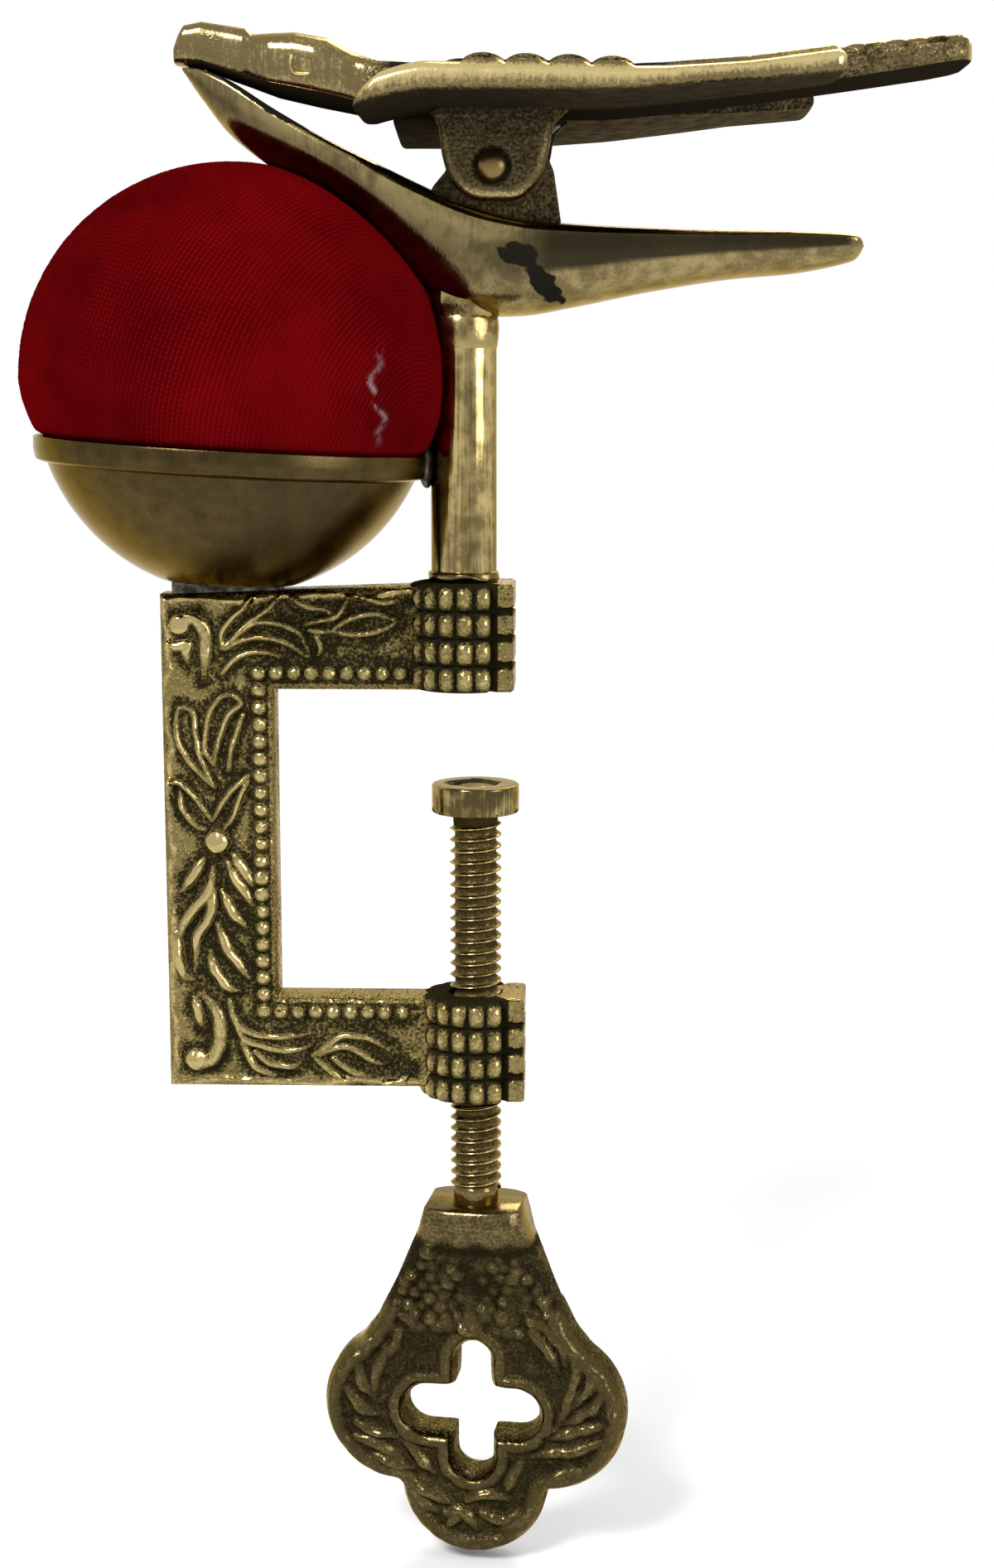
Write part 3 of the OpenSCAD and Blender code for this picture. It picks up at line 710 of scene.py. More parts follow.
SCREW = Brass(
    "screw_brass", (0.56, 0.43, 0.20), (0.13, 0.096, 0.035), (0.038, 0.027, 0.010),
    rough=0.15, wear=Wear.GROUND, low=-0.05, high=0.3,
)
PAD = Brass(
    "pad_brass", (0.40, 0.31, 0.13), (0.095, 0.07, 0.028), rough=0.13, stipple=0.06, mottle=1.1, filed=0.8,
    along=(1, 1, 0.04),
)
RED = Velvet("red_velvet_pile")
WOOL = Fibre("wool", (0.62, 0.55, 0.42), (0.36, 0.30, 0.21))
LINEN = Fibre("linen", (0.66, 0.58, 0.44), (0.34, 0.28, 0.19), 6.0)
SOLDER = GreyMetal("grey_solder", (0.17, 0.16, 0.135), (0.028, 0.024, 0.018), 0.42, 0.12)
OLD_SOLDER = GreyMetal("browned_solder", (0.085, 0.066, 0.048), (0.025, 0.018, 0.012), 0.5, 0.08)
STEEL = GreyMetal("spring_wire", (0.30, 0.29, 0.28), (0.08, 0.075, 0.07), 0.35, 0.01)


@dataclass
class ClampFrame:
    """The cast C of bar and arms, with raised leaves, scrolls and beads, and its two beaded bosses."""

    left: float = -27.4
    inner: float = -17.2
    arm_end: float = -2.6
    jaw: float = 28.6
    arm: float = 8.6
    rise: float = 1.0
    thick: float = 4.2
    boss_x: Point2 = (0.0, 1.0)
    boss_z: Point2 = (0.0, -38.1)
    boss_h: float = 9.7
    boss_r: float = 4.5
    boss_rows: int = 4
    bead_rise: float = 0.9
    groove_turn: Point2 = (31.0, 38.0)
    groove_x: Point2 = (2.2, 2.6)
    groove_y: float = 3.0
    seam_turn: Point2 = (38.0, 56.0)
    seam_x: Point2 = (3.05, 4.6)
    seam_y: float = 3.5
    notch: float = 0.5
    cell: float = 0.15

    def leaves(self, work: Relief) -> None:
        """Draws the leaves, scrolls and flower on the ground.

        Args:
            work: the relief to draw on, whose points are the face's X and Z.
        """
        outlines = [
            [(-21.8, 3.8), (-21.7, 5.2), (-20.6, 6.7), (-19.6, 7.6), (-19.0, 8.4)],
            [(-21.6, 3.8), (-20.0, 5.5), (-18.5, 6.7), (-17.6, 7.3), (-16.6, 8.3)],
            [(-21.4, 4.0), (-19.6, 5.6), (-17.9, 6.2), (-15.3, 5.5), (-14.2, 4.2), (-13.8, 2.9)],
            [(-21.4, 3.8), (-20.2, 4.4), (-18.6, 4.8), (-16.3, 4.4), (-14.6, 3.4), (-13.8, 2.9)],
            [(-21.8, 1.5), (-20.7, 2.7), (-19.3, 3.4), (-17.7, 3.4), (-16.3, 3.0)],
            [(-11.8, 5.4), (-10.3, 6.4), (-8.4, 6.9), (-6.9, 6.7), (-5.9, 6.2)],
            [(-11.8, 5.4), (-10.4, 5.1), (-8.9, 5.1), (-7.2, 5.5), (-5.9, 6.2)],
            [(-14.1, 6.0), (-13.0, 6.3), (-11.5, 6.6), (-10.8, 7.5), (-10.3, 8.4)],
            [(-15.4, 8.3), (-13.9, 7.5), (-12.5, 7.3), (-11.5, 6.7)],
            [(-13.9, 5.4), (-12.6, 5.3), (-11.8, 5.4)],
            [(-13.4, 5.3), (-12.8, 3.9), (-13.1, 3.1)],
            [(-9.6, 8.6), (-8.4, 8.2), (-6.9, 7.9), (-5.4, 8.4)],
            [(-22.7, -8.9), (-24.7, -6.9), (-25.8, -5.0), (-26.1, -3.3), (-25.8, -1.8), (-25.2, -1.6)],
            [(-25.2, -1.6), (-24.5, -2.1), (-24.3, -3.8), (-24.0, -5.9), (-23.2, -7.8), (-22.7, -8.9)],
            [(-22.7, -6.9), (-23.5, -5.5), (-23.3, -3.3), (-22.8, -1.7), (-21.8, -0.6), (-20.8, -0.5)],
            [(-20.8, -0.5), (-20.1, -1.2), (-21.3, -2.3), (-22.0, -4.0), (-22.5, -5.7), (-22.7, -6.9)],
            [(-20.0, -2.3), (-20.6, -4.0), (-21.1, -5.5), (-21.4, -7.4)],
            [(-27.0, -8.5), (-25.7, -8.6), (-24.3, -10.2), (-23.0, -12.0)],
            [(-25.8, -9.3), (-25.7, -10.7), (-24.8, -12.2), (-23.6, -12.9)],
            [(-19.5, -7.8), (-20.9, -9.0), (-21.9, -10.2), (-22.8, -11.9)],
            [(-19.6, -8.3), (-20.3, -9.7), (-21.0, -11.6), (-21.8, -12.7)],
        ]
        for first, second in ((0, 1), (2, 3), (5, 6), (12, 13), (14, 15)):
            work.fill(outlines[first], outlines[second][:: 1 if first < 12 else -1], 0.12)
        for line in outlines:
            work.ridge(line, 0.36, 0.62, (0.8, 1, 1, 0.7), 0.7)
        petals = [
            [(-23.7, -15.4), (-24.7, -17.0), (-26.0, -18.8)],
            [(-22.9, -16.2), (-23.4, -18.5), (-24.7, -20.2), (-25.8, -21.8), (-26.6, -24.1)],
            [(-23.0, -17.6), (-23.1, -19.9), (-23.5, -21.2), (-24.6, -23.1), (-24.8, -26.2)],
            [(-26.4, -22.4), (-26.2, -24.4), (-25.9, -26.5), (-24.9, -26.9)],
            [(-21.1, -15.0), (-20.1, -16.7), (-19.2, -18.3)],
            [(-21.7, -15.8), (-20.9, -17.5), (-19.9, -18.9), (-19.3, -20.2)],
            [(-22.2, -18.5), (-20.9, -21.0), (-19.6, -22.2)],
            [(-22.7, -21.6), (-21.7, -24.0), (-20.5, -25.8), (-19.4, -27.2)],
            [(-23.4, -24.2), (-22.9, -26.2), (-21.8, -27.6), (-20.5, -28.0)],
            [(-24.9, -28.5), (-24.5, -30.4), (-24.2, -31.5)],
            [(-26.9, 4.2), (-25.9, 4.0), (-24.9, 4.1), (-25.0, 3.4), (-24.8, 2.3)],
        ]
        for line in petals:
            work.ridge(line, 0.64, 0.72, (0.55, 1, 1, 0.4), 0.8)
        sprays = [
            [(-21.7, -28.9), (-21.1, -30.9), (-19.3, -32.1), (-16.8, -32.3), (-14.2, -32.0), (-13.3, -31.8)],
            [(-21.3, -30.6), (-20.4, -32.5), (-18.6, -33.2), (-16.5, -33.6), (-14.5, -33.2), (-13.4, -32.2)],
            [(-20.6, -32.8), (-19.4, -35.1), (-17.9, -35.8), (-16.6, -36.0)],
            [(-19.4, -33.8), (-18.1, -34.8), (-16.0, -35.1), (-14.5, -34.5)],
            [(-14.0, -34.1), (-12.4, -32.9), (-10.9, -32.1), (-8.6, -32.5), (-7.1, -33.4), (-6.0, -34.5)],
            [(-13.4, -34.0), (-11.4, -33.2), (-9.6, -33.7), (-8.1, -34.7), (-6.1, -34.5)],
            [(-13.7, -34.4), (-12.2, -35.6), (-10.9, -36.7)],
            [(-12.2, -34.3), (-10.4, -35.5), (-8.3, -36.1)],
            [(-7.3, -36.6), (-5.8, -36.3), (-5.0, -35.5)],
        ]
        for first, second in ((0, 1), (4, 5)):
            work.fill(sprays[first], sprays[second], 0.12)
        for line in sprays:
            work.ridge(line, 0.44, 0.64, (0.8, 1, 1, 0.4), 0.7)
        scroll = [(-25.4, 6.3), (-24.2, 6.4), (-23.3, 5.2), (-23.3, 3.0), (-23.5, 0.8)]
        work.ridge(scroll, 0.66, 0.62, (1, 1, 1, 0.4))
        work.ridge(
            [(-24.6, -34.9), (-23.4, -34.4), (-22.7, -33.0), (-22.6, -31.2), (-23.1, -29.6), (-24.2, -28.3)],
            0.74, 0.66, (1, 1, 1, 0.6),
        )
        work.dome(-25.6, 5.9, 1.05, 0.9)
        work.dome(-24.9, -34.5, 1.15, 0.95)
        work.dome(-22.5, -14.0, 1.25, 1.0)

    def beads(self, work: Relief) -> None:
        """Draws the rows of beads along the inner edge, which meet at beads in both corners."""
        column, rows = self.inner - 1.3, (1.55, -self.jaw - 1.3)
        places = [(column, z) for z in np.linspace(*rows, 21)]
        places += [(column + 1.6 * i, z) for z in rows for i in range(1, 9)]
        for x, z in places:
            work.dome(x, z, 0.75, 0.66, 2.15)

    def plate(self) -> Mesh:
        """Returns the C with its raised work on both faces."""
        cols = [round((self.inner - self.left) / self.cell), round((self.arm_end - self.inner) / self.cell)]
        rows = [round(self.arm / self.cell), round(self.jaw / self.cell), round(self.arm / self.cell)]
        bm, u, v = grid(sum(cols), sum(rows))
        x = np.interp(u * sum(cols), np.cumsum([0, *cols]), [self.left, self.inner, self.arm_end])
        flat_z = np.interp(
            v * sum(rows), np.cumsum([0, *rows]), [-self.jaw - self.arm, -self.jaw, 0, self.arm]
        )
        stretch = (self.arm + self.rise * (x - self.left) / -self.left) / self.arm
        z = np.where(flat_z > 0, flat_z * stretch, flat_z)
        work = Relief(x, z)
        self.leaves(work)
        self.beads(work)
        drawn = work.height.copy()
        work.lumps(1.1, 0.12, 3)
        gap = np.hypot(np.maximum(self.inner - x, 0), np.maximum(np.maximum(z, -self.jaw - z), 0))
        edge = np.minimum.reduce([x - self.left, self.arm * stretch - z, z + self.jaw + self.arm, gap])
        wide = 0.34 + 0.22 * bell(z, -24, 9)
        rim_in = 0.55 + 0.22 * np.sin(0.7 * z + 0.5 * x) + 0.12 * np.sin(1.9 * z + x)
        rim = bell(edge, rim_in, wide) * (gap > 1.2)
        height = (np.maximum(work.height, -0.1) + 0.25 * rim) * unit(edge / 0.35)
        # The ground of the arms, past the bar, is darker than the bar's.
        darkening = np.where(z > 0, 0.22, 0.16 * (z < -self.jaw)) * unit((x + 20) / 4)
        # The ground is darker close to the raised work: patina kept at the feet of the strokes, and painted
        # shade there.
        ground = -0.22 + 0.60 * unit(work.clear / 1.1) - darkening
        # Crests of the strokes and beads, and the rims along the edges, take the bright colour: rubbed wear,
        # and painted highlight.
        relief = np.maximum(ground + 2.3 * drawn**1.7, 0.8 * rim - 0.05)
        relief = np.where((gap < 0.5) | (edge < 0.25), 0.26, relief)
        y = -self.thick / 2 - height + bullnose(edge, 0.75, 0.6)
        shape(bm, np.column_stack([x, y, z]), relief=relief)
        void = [
            f for f in bm.faces
            if (c := f.calc_center_median() / MM).x > self.inner and -self.jaw < c.z < 0
        ]
        bmesh.ops.delete(bm, geom=void, context="FACES")
        both_faces(bm)
        return bm

    def boss(self, x: float, z: float, hole: float, darkening: float) -> Mesh:
        """Makes a boss.

        Args:
            x: the place of its axis.
            z: the height of its foot.
            hole: the radius of its bore.
            darkening: how much patina is left on it.

        Returns:
            The mesh.
        """
        bm, u, v = grid(300, 76)
        turn = u * 360 - 180
        front = np.where(np.abs(turn) > 90, np.sign(turn) * (180 - np.abs(turn)), turn)
        tall = v * self.boss_h
        row = (tall / (self.boss_h / self.boss_rows)) % 1 * 2 - 1
        body = np.zeros_like(u)
        for i in range(6):
            side = np.abs((front - (-75.5 + 19.6 * i)) / 9.75)
            body = np.maximum(body, unit(1 - side**2))
        bump = np.sqrt(body * unit(1 - np.abs(row / 0.97) ** 2))
        jag = 1.3 * np.sin(2.1 * tall) + 1.1 * np.sin(4.7 * tall + 1)
        seam = front >= self.seam_turn[0]
        groove = (front > self.groove_turn[0] + jag) & ~seam
        end = np.minimum(tall, self.boss_h - tall)
        notch = unit((np.abs(row) - 0.68 + 0.04 * np.sin(front * 0.5)) / 0.12) * (end > 1)
        cut = 0.3 * unit(1 - end / 0.25)
        radius, inset = self.boss_r + self.bead_rise * bump - cut, cut + self.notch * notch
        a = np.radians(turn)
        block_x = np.minimum(np.interp(front, self.seam_turn, self.seam_x), self.seam_x[1] - inset)
        block_y = np.minimum(np.interp(front, [self.seam_turn[1], 90], [self.seam_y, 0]), self.seam_y - inset)
        groove_x = np.interp(front, self.groove_turn, self.groove_x)
        px = np.select([seam, groove], [block_x, groove_x], radius * np.sin(a))
        deep = np.select([seam, groove], [block_y, self.groove_y - cut], radius * np.abs(np.cos(a)))
        py = -np.sign(np.cos(a)) * deep
        # Bead crowns take the bright colour and the gaps between them the dark: rubbed wear and patina, and
        # also painted highlight and painted shade.
        shine = np.select(
            [front > self.seam_turn[0] + 1.3, groove | seam],
            [0.42 - 0.95 * notch, np.full_like(u, -0.5)],
            -0.36 + 1.15 * bump**1.6,
        ) - darkening
        shape(bm, np.column_stack([x + px, py, z + tall]), relief=shine)
        weld(bm, 0.004)
        loops = []
        for level in (z, z + self.boss_h):
            edges = [
                e for e in bm.edges
                if e.is_boundary and all(abs(w.co.z / MM - level) < 1e-3 for w in e.verts)
            ]
            verts, made = grown(bm, edges)
            for vert in verts:
                away = Vector((vert.co.x - x * MM, vert.co.y, 0))
                vert.co = Vector((x * MM, 0, vert.co.z)) + away.normalized() * hole * MM
            loops += made
        bmesh.ops.bridge_loops(bm, edges=loops)
        bmesh.ops.recalc_face_normals(bm, faces=bm.faces)
        return bm

    def build(self, shop: Shop) -> None:
        """Builds the frame and its bosses."""
        shop.piece("frame_casting", self.plate(), CAST, "clamp", "aged_cast_brass", ["clamp_frame"], 60)
        for name, end, hole, darkening in (("upper_boss", 0, 0.05, 0.12), ("lower_boss", 1, 2.52, 0.05)):
            boss = self.boss(self.boss_x[end], self.boss_z[end], hole, darkening)
            shop.piece(name, boss, CAST, "clamp", "aged_cast_brass", [], 50)


@dataclass
class PostAndBrazing:
    """The round post and the brazing at its foot and head."""

    radius: float = 2.95
    foot: float = 9.7
    sunk: float = 0.3
    top: float = 32.2

    def ring(self, low: float, high: float, swell: float, seed: int) -> Mesh:
        """Returns a lumpy ring of brazing from low to high that stands out by about swell."""
        bm, u, v = grid(120, 14)
        turn, rng = u * 2 * math.pi, np.random.default_rng(seed)
        lumps = sum(
            rng.uniform(0.3, 1) * np.sin(k * turn + rng.uniform(0, 6.3) + 4 * v * rng.uniform(-1, 1))
            for k in (2, 3, 5, 7)
        )
        bulge = np.sqrt(unit(1 - (2 * v - 1) ** 2)) * (swell + 0.12 * swell * lumps)
        radius = self.radius - 0.12 + bulge
        tall = low + (high - low) * v + 0.12 * lumps * np.sin(math.pi * v)
        shape(bm, np.column_stack([radius * np.cos(turn), radius * np.sin(turn), tall]))
        weld(bm)
        return bm

    def build(self, shop: Shop) -> None:
        """Builds the post and both rings."""
        low = self.foot - self.sunk
        profile = [(0.01, low), (self.radius, low), (self.radius, self.top), (0.01, self.top)]
        post = turned(rounded(profile, 0.15), 96)

        def painted_reflection_bands(p: Array) -> Array:
            """Returns how brown the post is: upright bands of painted reflection and painted shade, with a
            wandering edge.
            """
            side = np.degrees(np.arctan2(p[:, 0], -p[:, 1])) + 3 * np.sin(0.6 * p[:, 2])
            return np.clip(0.85 * bell(side, -72, 26) + 0.5 * bell(side, 14, 11) + 0.7 * bell(side, 78, 12)
                           + 0.6 * bell(np.abs(side), 150, 22), 0, 0.9)

        mark(post, tarnish=painted_reflection_bands)
        shop.piece("post_bar", post, POST, "clamp", "worn_brass_post", ["post"])
        for name, low, high, swell, seed, node in (
            ("foot_brazing", 9.65, 10.7, 0.42, 4, "post_base_braze"),
            ("head_brazing", 30.2, 33.4, 0.30, 9, "post_top_braze"),
        ):
            shop.piece(name, self.ring(low, high, swell, seed), BRAZE, "clamp", "brazing", [node])


@dataclass
class CupAndCushion:
    """The spun cup, its solder, and the velvet ball in it."""

    x: float = -20.7
    z: float = 21.97
    tilt: float = 3.2
    rim_r: float = 17.7
    rim_h: float = 2.2
    depth: float = 12.3
    foot_r: float = 6.1
    bowl_r: float = 17.75
    bowl_rise: float = 4.36
    wall: float = 0.8
    ball_r: float = 19.1
    ball_rise: float = 5.5
    dent_r: float = 14.0
    ball_u: int = 400
    ball_v: int = 200
    pile_pole: tuple[float, float, float] = (0.86, -0.42, -0.28)

    def cup(self) -> Mesh:
        """Returns the cup."""
        arc = [math.radians(a) for a in np.linspace(-69.9, -22.3, 22)]
        outer = [(self.bowl_r * math.cos(a), self.bowl_rise + self.bowl_r * math.sin(a)) for a in arc]
        inside = self.bowl_r - self.wall
        inner = [(inside * math.cos(a), self.bowl_rise + inside * math.sin(a)) for a in arc]
        r, low = self.rim_r, -self.rim_h
        band = rounded([
            outer[-1], (r - 0.25, low + 0.1), (r - 0.15, low + 0.55), (r - 0.02, -1.2), (r, -0.05),
            (r - 0.45, 0.02), (r - 0.8, -0.3),
        ], 0.2)
        profile = [(0.01, -self.depth), (self.foot_r - 0.3, -self.depth), *outer, *band[1:], *inner[::-1],
                   (self.foot_r - 0.6, self.wall - self.depth), (0.01, self.wall - self.depth)]

        def brown(p: Array) -> Array:
            """Returns how brown the cup is: on its band, most towards +X; and, as painted reflection, down one
            side and near the foot of its bowl.
            """
            side = np.degrees(np.arctan2(p[:, 1], p[:, 0]))
            on_band = 0.12 + 0.8 * bell(p[:, 0], r, 1.1)
            # The bowl's dark side and the dark band above its foot are painted reflection.
            on_bowl = 0.1 + 0.45 * bell(side, -62, 26) + 0.4 * bell(p[:, 2], -9.6, 0.9)
            return np.where(p[:, 2] > low - 0.1, on_band, on_bowl)

        return placed(mark(turned(profile, 160), tarnish=brown), self.x, self.z, self.tilt, "Y")

    def fillet(self) -> Mesh:
        """Returns the lump of solder that fills the corner between the rim and the post."""
        bm = bmesh.new()
        bmesh.ops.create_icosphere(bm, subdivisions=5, radius=1.0)
        p = np.array([v.co for v in bm.verts])
        lumps = 1 + 0.08 * np.sin(4 * p[:, 2] + 2 * p[:, 1]) + 0.05 * np.sin(9 * p[:, 1] + 3)
        x, y, z = -3.3 + 0.8 * p[:, 0], 2.9 * p[:, 1] * lumps, 20.1 + 1.85 * p[:, 2] * lumps
        shape(bm, np.column_stack([x, y, z]))
        return bm

    def free(self, p: Array) -> Array:
        """Tells how far points are from the post and the bird's breast, in millimetres; below 0 is inside."""
        post = np.hypot(p[:, 0], p[:, 1]) - 3.3
        post = np.where(p[:, 2] > 40, 9.0, post)
        xs, tops, lows, halves = zip(*LowerBird.stations)
        top, low = (np.interp(p[:, 0], xs, [z + LowerBird.base for z in zs]) for zs in (tops, lows))
        half = np.interp(p[:, 0], xs, halves)
        edge = top - 0.22 * (top - low)
        keel = edge - (edge - low) * np.sqrt(unit(1 - (p[:, 1] / (half + 0.25)) ** 2))
        keel = np.where(np.abs(p[:, 1]) > half + 0.25, 99.0, keel)
        return np.minimum(post, np.where(p[:, 0] > -24.4, (keel - p[:, 2]) * 0.8, 9.0))

    def pressed(self, middle: Array, way: Array, u: Array, v: Array) -> Array:
        """Works out how far the ball reaches before the post or the bird's breast stops it.

        Args:
            middle: the ball's middle.
            way: each point's way from it.
            u: each point's place round the grid.
            v: each point's place down the grid.

        Returns:
            Each point's reach, with the edges of the dents softened.
        """
        reach = np.full(len(u), self.dent_r)
        for r in np.linspace(self.dent_r, self.ball_r, 60):
            clear = self.free(middle + way * r) > 0.12
            reach = np.where(clear & (reach > r - 0.2), r, reach)
        order = np.lexsort((np.round(u * self.ball_u), np.round(v * self.ball_v)))
        table = reach[order].reshape(self.ball_v + 1, self.ball_u + 1)
        soft = table.copy()
        for _ in range(5):
            soft = (soft + np.roll(soft, 1, 1) + np.roll(soft, -1, 1)
                    + np.vstack([soft[1:], soft[-1:]]) + np.vstack([soft[:1], soft[:-1]])) / 5
        soft[:, -1] = soft[:, 0]
        even = np.empty_like(reach)
        even[order] = np.minimum(table, soft).ravel()
        return even

    def in_cup(self, p: Array, tilt: float) -> Array:
        """Returns points squeezed into the mouth and bowl of the cup, which leans by tilt radians."""
        c, n = math.cos(tilt), math.sin(tilt)
        px, pz = p[:, 0] - self.x, p[:, 2] - self.z
        lx, lz = px * c - pz * n, px * n + pz * c
        out = np.hypot(lx, p[:, 1])
        bowl = np.sqrt(np.clip((self.bowl_r - self.wall - 0.1) ** 2 - (lz - self.bowl_rise) ** 2, 1, None))
        mouth = np.interp(
            lz, [-self.rim_h, -0.1, 0.1, 0.35, 0.7, 1.5, 3.0, 4.6, 4.7],
            [16.3, 16.8, 16.95, 17.5, 17.75, 18.15, 18.75, 19.1, 99],
        )
        squeeze = np.minimum(1, np.where(lz < -self.rim_h, bowl, mouth) / np.maximum(out, 1e-6))
        lx, ly = lx * squeeze, p[:, 1] * squeeze
        lz = np.maximum(lz, self.wall - self.depth + 0.1)
        return np.column_stack([self.x + lx * c + lz * n, ly, self.z - lx * n + lz * c])

    def cushion(self) -> Mesh:
        """Returns the velvet ball, with the numbers that its pile, its lint and its painted shade follow."""
        bm, u, v = grid(self.ball_u, self.ball_v)
        turn, fall = u * 2 * math.pi, v * 158 * math.pi / 180
        way = np.column_stack([np.sin(fall) * np.cos(turn), np.sin(fall) * np.sin(turn), np.cos(fall)])
        tilt = math.radians(self.tilt)
        lean, rise = self.ball_rise * math.sin(tilt), self.ball_rise * math.cos(tilt)
        middle = np.array([self.x + lean, 0, self.z + rise])
        even = self.pressed(middle, way, u, v) + 0.05 * np.sin(7 * turn + 3 * fall) * np.sin(fall) - 0.03
        fuzz = np.random.default_rng(11).uniform(-0.05, 0.05, len(u))
        fuzz = np.where((u < 1e-6) | (u > 1 - 1e-6) | (v < 1e-6) | (v > 1 - 1e-6), 0, fuzz)
        p = self.in_cup(middle + way * (even + fuzz)[:, None], tilt)
        pole = np.array(self.pile_pole)
        pole = pole / np.linalg.norm(pole)
        side = np.cross(pole, [0, 0, 1])
        side = side / np.linalg.norm(side)
        across = np.arccos(np.clip(way @ pole, -1, 1))
        along = np.arctan2(way @ side, way @ np.cross(side, pole))
        thread = -6.7 + 0.40 * np.sin(1.1 * p[:, 2]) + 0.22 * np.sin(2.9 * p[:, 2])
        lint = bell(p[:, 0], thread, 0.19) * unit(1.2 - np.abs(p[:, 2] - 26.2) / 3.8) * (p[:, 1] < 0)
        # Away grows towards -X, where the velvet is painted darker as shade.
        away = unit((-18.0 - p[:, 0]) / 16)
        shape(bm, p, row_angle=across, row_turn=along, lint=lint, away=away)
        weld(bm)
        return bm

    def build(self, shop: Shop) -> None:
        """Builds the cup, the solder and the cushion."""
        shop.piece("spun_cup", self.cup(), CUP, "clamp", "cup_brass", ["cushion_cup"], 35)
        shop.dress("cup_foot_solder", SOLDER)
        shop.piece("rim_solder", self.fillet(), OLD_SOLDER, "clamp", "solder", ["cup_side_solder"])
        shop.dress("cushion_stuffing", WOOL)
        shop.dress("gathering_thread", LINEN)
        ball = shop.piece("velvet_ball", self.cushion(), RED, "clamp", "red_velvet", ["velvet_cover"], 180)


@dataclass
class LowerBird:
    """The lower casting: beak, breast and tail lever, neck and the two cheeks that hold the pin."""

    stations: ClassVar[tuple[tuple[float, ...], ...]] = (  # X, top, foot and half width
        (-24.4, 22.3, 21.9, 1.4), (-22.8, 22.1, 19.6, 2.6), (-20.2, 21.1, 16.4, 3.6),
        (-16.2, 18.6, 13.4, 4.6), (-11.8, 16.1, 10.7, 5.4), (-7.6, 14.1, 7.1, 6.0), (-3.8, 12.3, 3.6, 6.4),
        (0.4, 10.5, 1.3, 6.6), (5.0, 9.3, 1.0, 6.6), (10.0, 8.8, 1.8, 6.3), (16.0, 8.5, 3.0, 5.7),
        (23.0, 8.3, 4.1, 4.9), (29.5, 8.2, 4.7, 4.2), (34.2, 7.9, 5.7, 3.2), (35.1, 7.3, 6.5, 2.2),
    )
    base: float = 32.2

    def hull(self) -> Mesh:
        """Returns the boat-shaped body, with a nearly flat top whose edge is worn round."""
        bm, u, v = grid(190, 112)
        s = smooth_path(self.stations, 20)
        at = u * (len(s) - 1)
        x, top, low, half = (np.interp(at, range(len(s)), s[:, i]) for i in range(4))
        nose = np.sqrt(np.clip(1 - (1 - unit((s[-1, 0] - x) / 0.9)) ** 2, 0.02, 1))
        middle = (top + low) / 2
        top, low = (middle + (height - middle) * nose for height in (top, low))
        half = half * (0.6 + 0.4 * nose)
        a = v * 2 * math.pi
        edge = top - 0.22 * (top - low)
        c, n = np.cos(a), np.sin(a)
        upper = n > 0
        y = half * np.sign(c) * np.abs(c) ** np.where(upper, 0.5, 0.95)
        z = edge + np.where(upper, (top - edge) * np.abs(n) ** 0.5, -(edge - low) * np.abs(n))
        share = (z - low) / np.maximum(top - low, 0.1)
        near = y < 0
        lip = bell(x, -18.5, 6.5) * bell(share, 0.98, 0.12) * near
        splash = near * np.maximum(
            bell(x, 4.7, 2.7) * bell(z, 6.2, 1.4), bell(x - 0.55 * (4 - z), 7.1, 1.7) * bell(z, 3.4, 2.1)
        )
        seat = bell(x, 0.2, 2.6) * bell(z, 11.6, 1.0)
        # The browning below is painted reflection and painted shade, laid on as tarnish: a dark upper flank on
        # the tail lever, kept light just under the top edge as a painted highlight, a darker keel, and a mid
        # band on the breast.
        tail = unit((x - 4) / 4)
        painted_dark_flank = unit((share - np.interp(x, [6, 33], [0.38, 0.54])) / 0.07)
        painted_dark_flank = painted_dark_flank * unit((34.0 - x) / 0.5)
        brown = tail * (painted_dark_flank * (1 - 0.75 * bell(share, 1.0, 0.10)) + 0.3 * bell(share, 0.0, 0.12))
        brown = brown + (1 - tail) * 0.6 * bell(share, 0.5, 0.2)
        stain = 0.78 * unit(1.3 * np.maximum.reduce([lip, splash, seat]))
        shape(bm, np.column_stack([x, y, self.base + z]), stain=stain, tarnish=np.clip(brown, 0, 0.96))
        weld(bm)
        close(bm)
        return bm

    def upstand(self) -> Mesh:
        """Returns the two cheeks that stand on the breast between the ears."""
        bm = bmesh.new()
        outline = [
            (-6.1, -4.4), (-5.2, -1.6), (-4.0, -0.2), (-3.9, 1.6), (-2.6, 3.3), (-0.6, 4.15), (1.4, 4.0),
            (3.2, 2.7), (4.6, 1.3), (5.3, -0.3), (6.0, -5.0), (5.0, -7.0), (-4.0, -7.0),
        ]
        for side in (-1, 1):
            verts = [
                bm.verts.new(((PIVOT_X + x) * MM, side * 2.4 * MM, (PIVOT_Z + z) * MM))
                for x, z in outline
            ]
            face = bm.faces.new(verts)
            made = bmesh.ops.extrude_face_region(bm, geom=[face])["geom"]
            moved = [g for g in made if isinstance(g, bmesh.types.BMVert)]
            bmesh.ops.translate(bm, verts=moved, vec=(0, side * 1.6 * MM, 0))
        bmesh.ops.recalc_face_normals(bm, faces=bm.faces)
        bmesh.ops.bevel(
            bm, geom=bm.edges[:], offset=0.25 * MM, segments=3, profile=0.5, affect="EDGES", material=-1
        )
        return bm

    def neck(self) -> Mesh:
        """Returns the filed block between the breast and the post."""
        profile = [(0.01, 31.9), (2.75, 31.9), (2.95, 33.0), (3.7, 34.3), (3.5, 36.8), (0.01, 36.8)]
        return turned(rounded(profile, 0.3), 9)

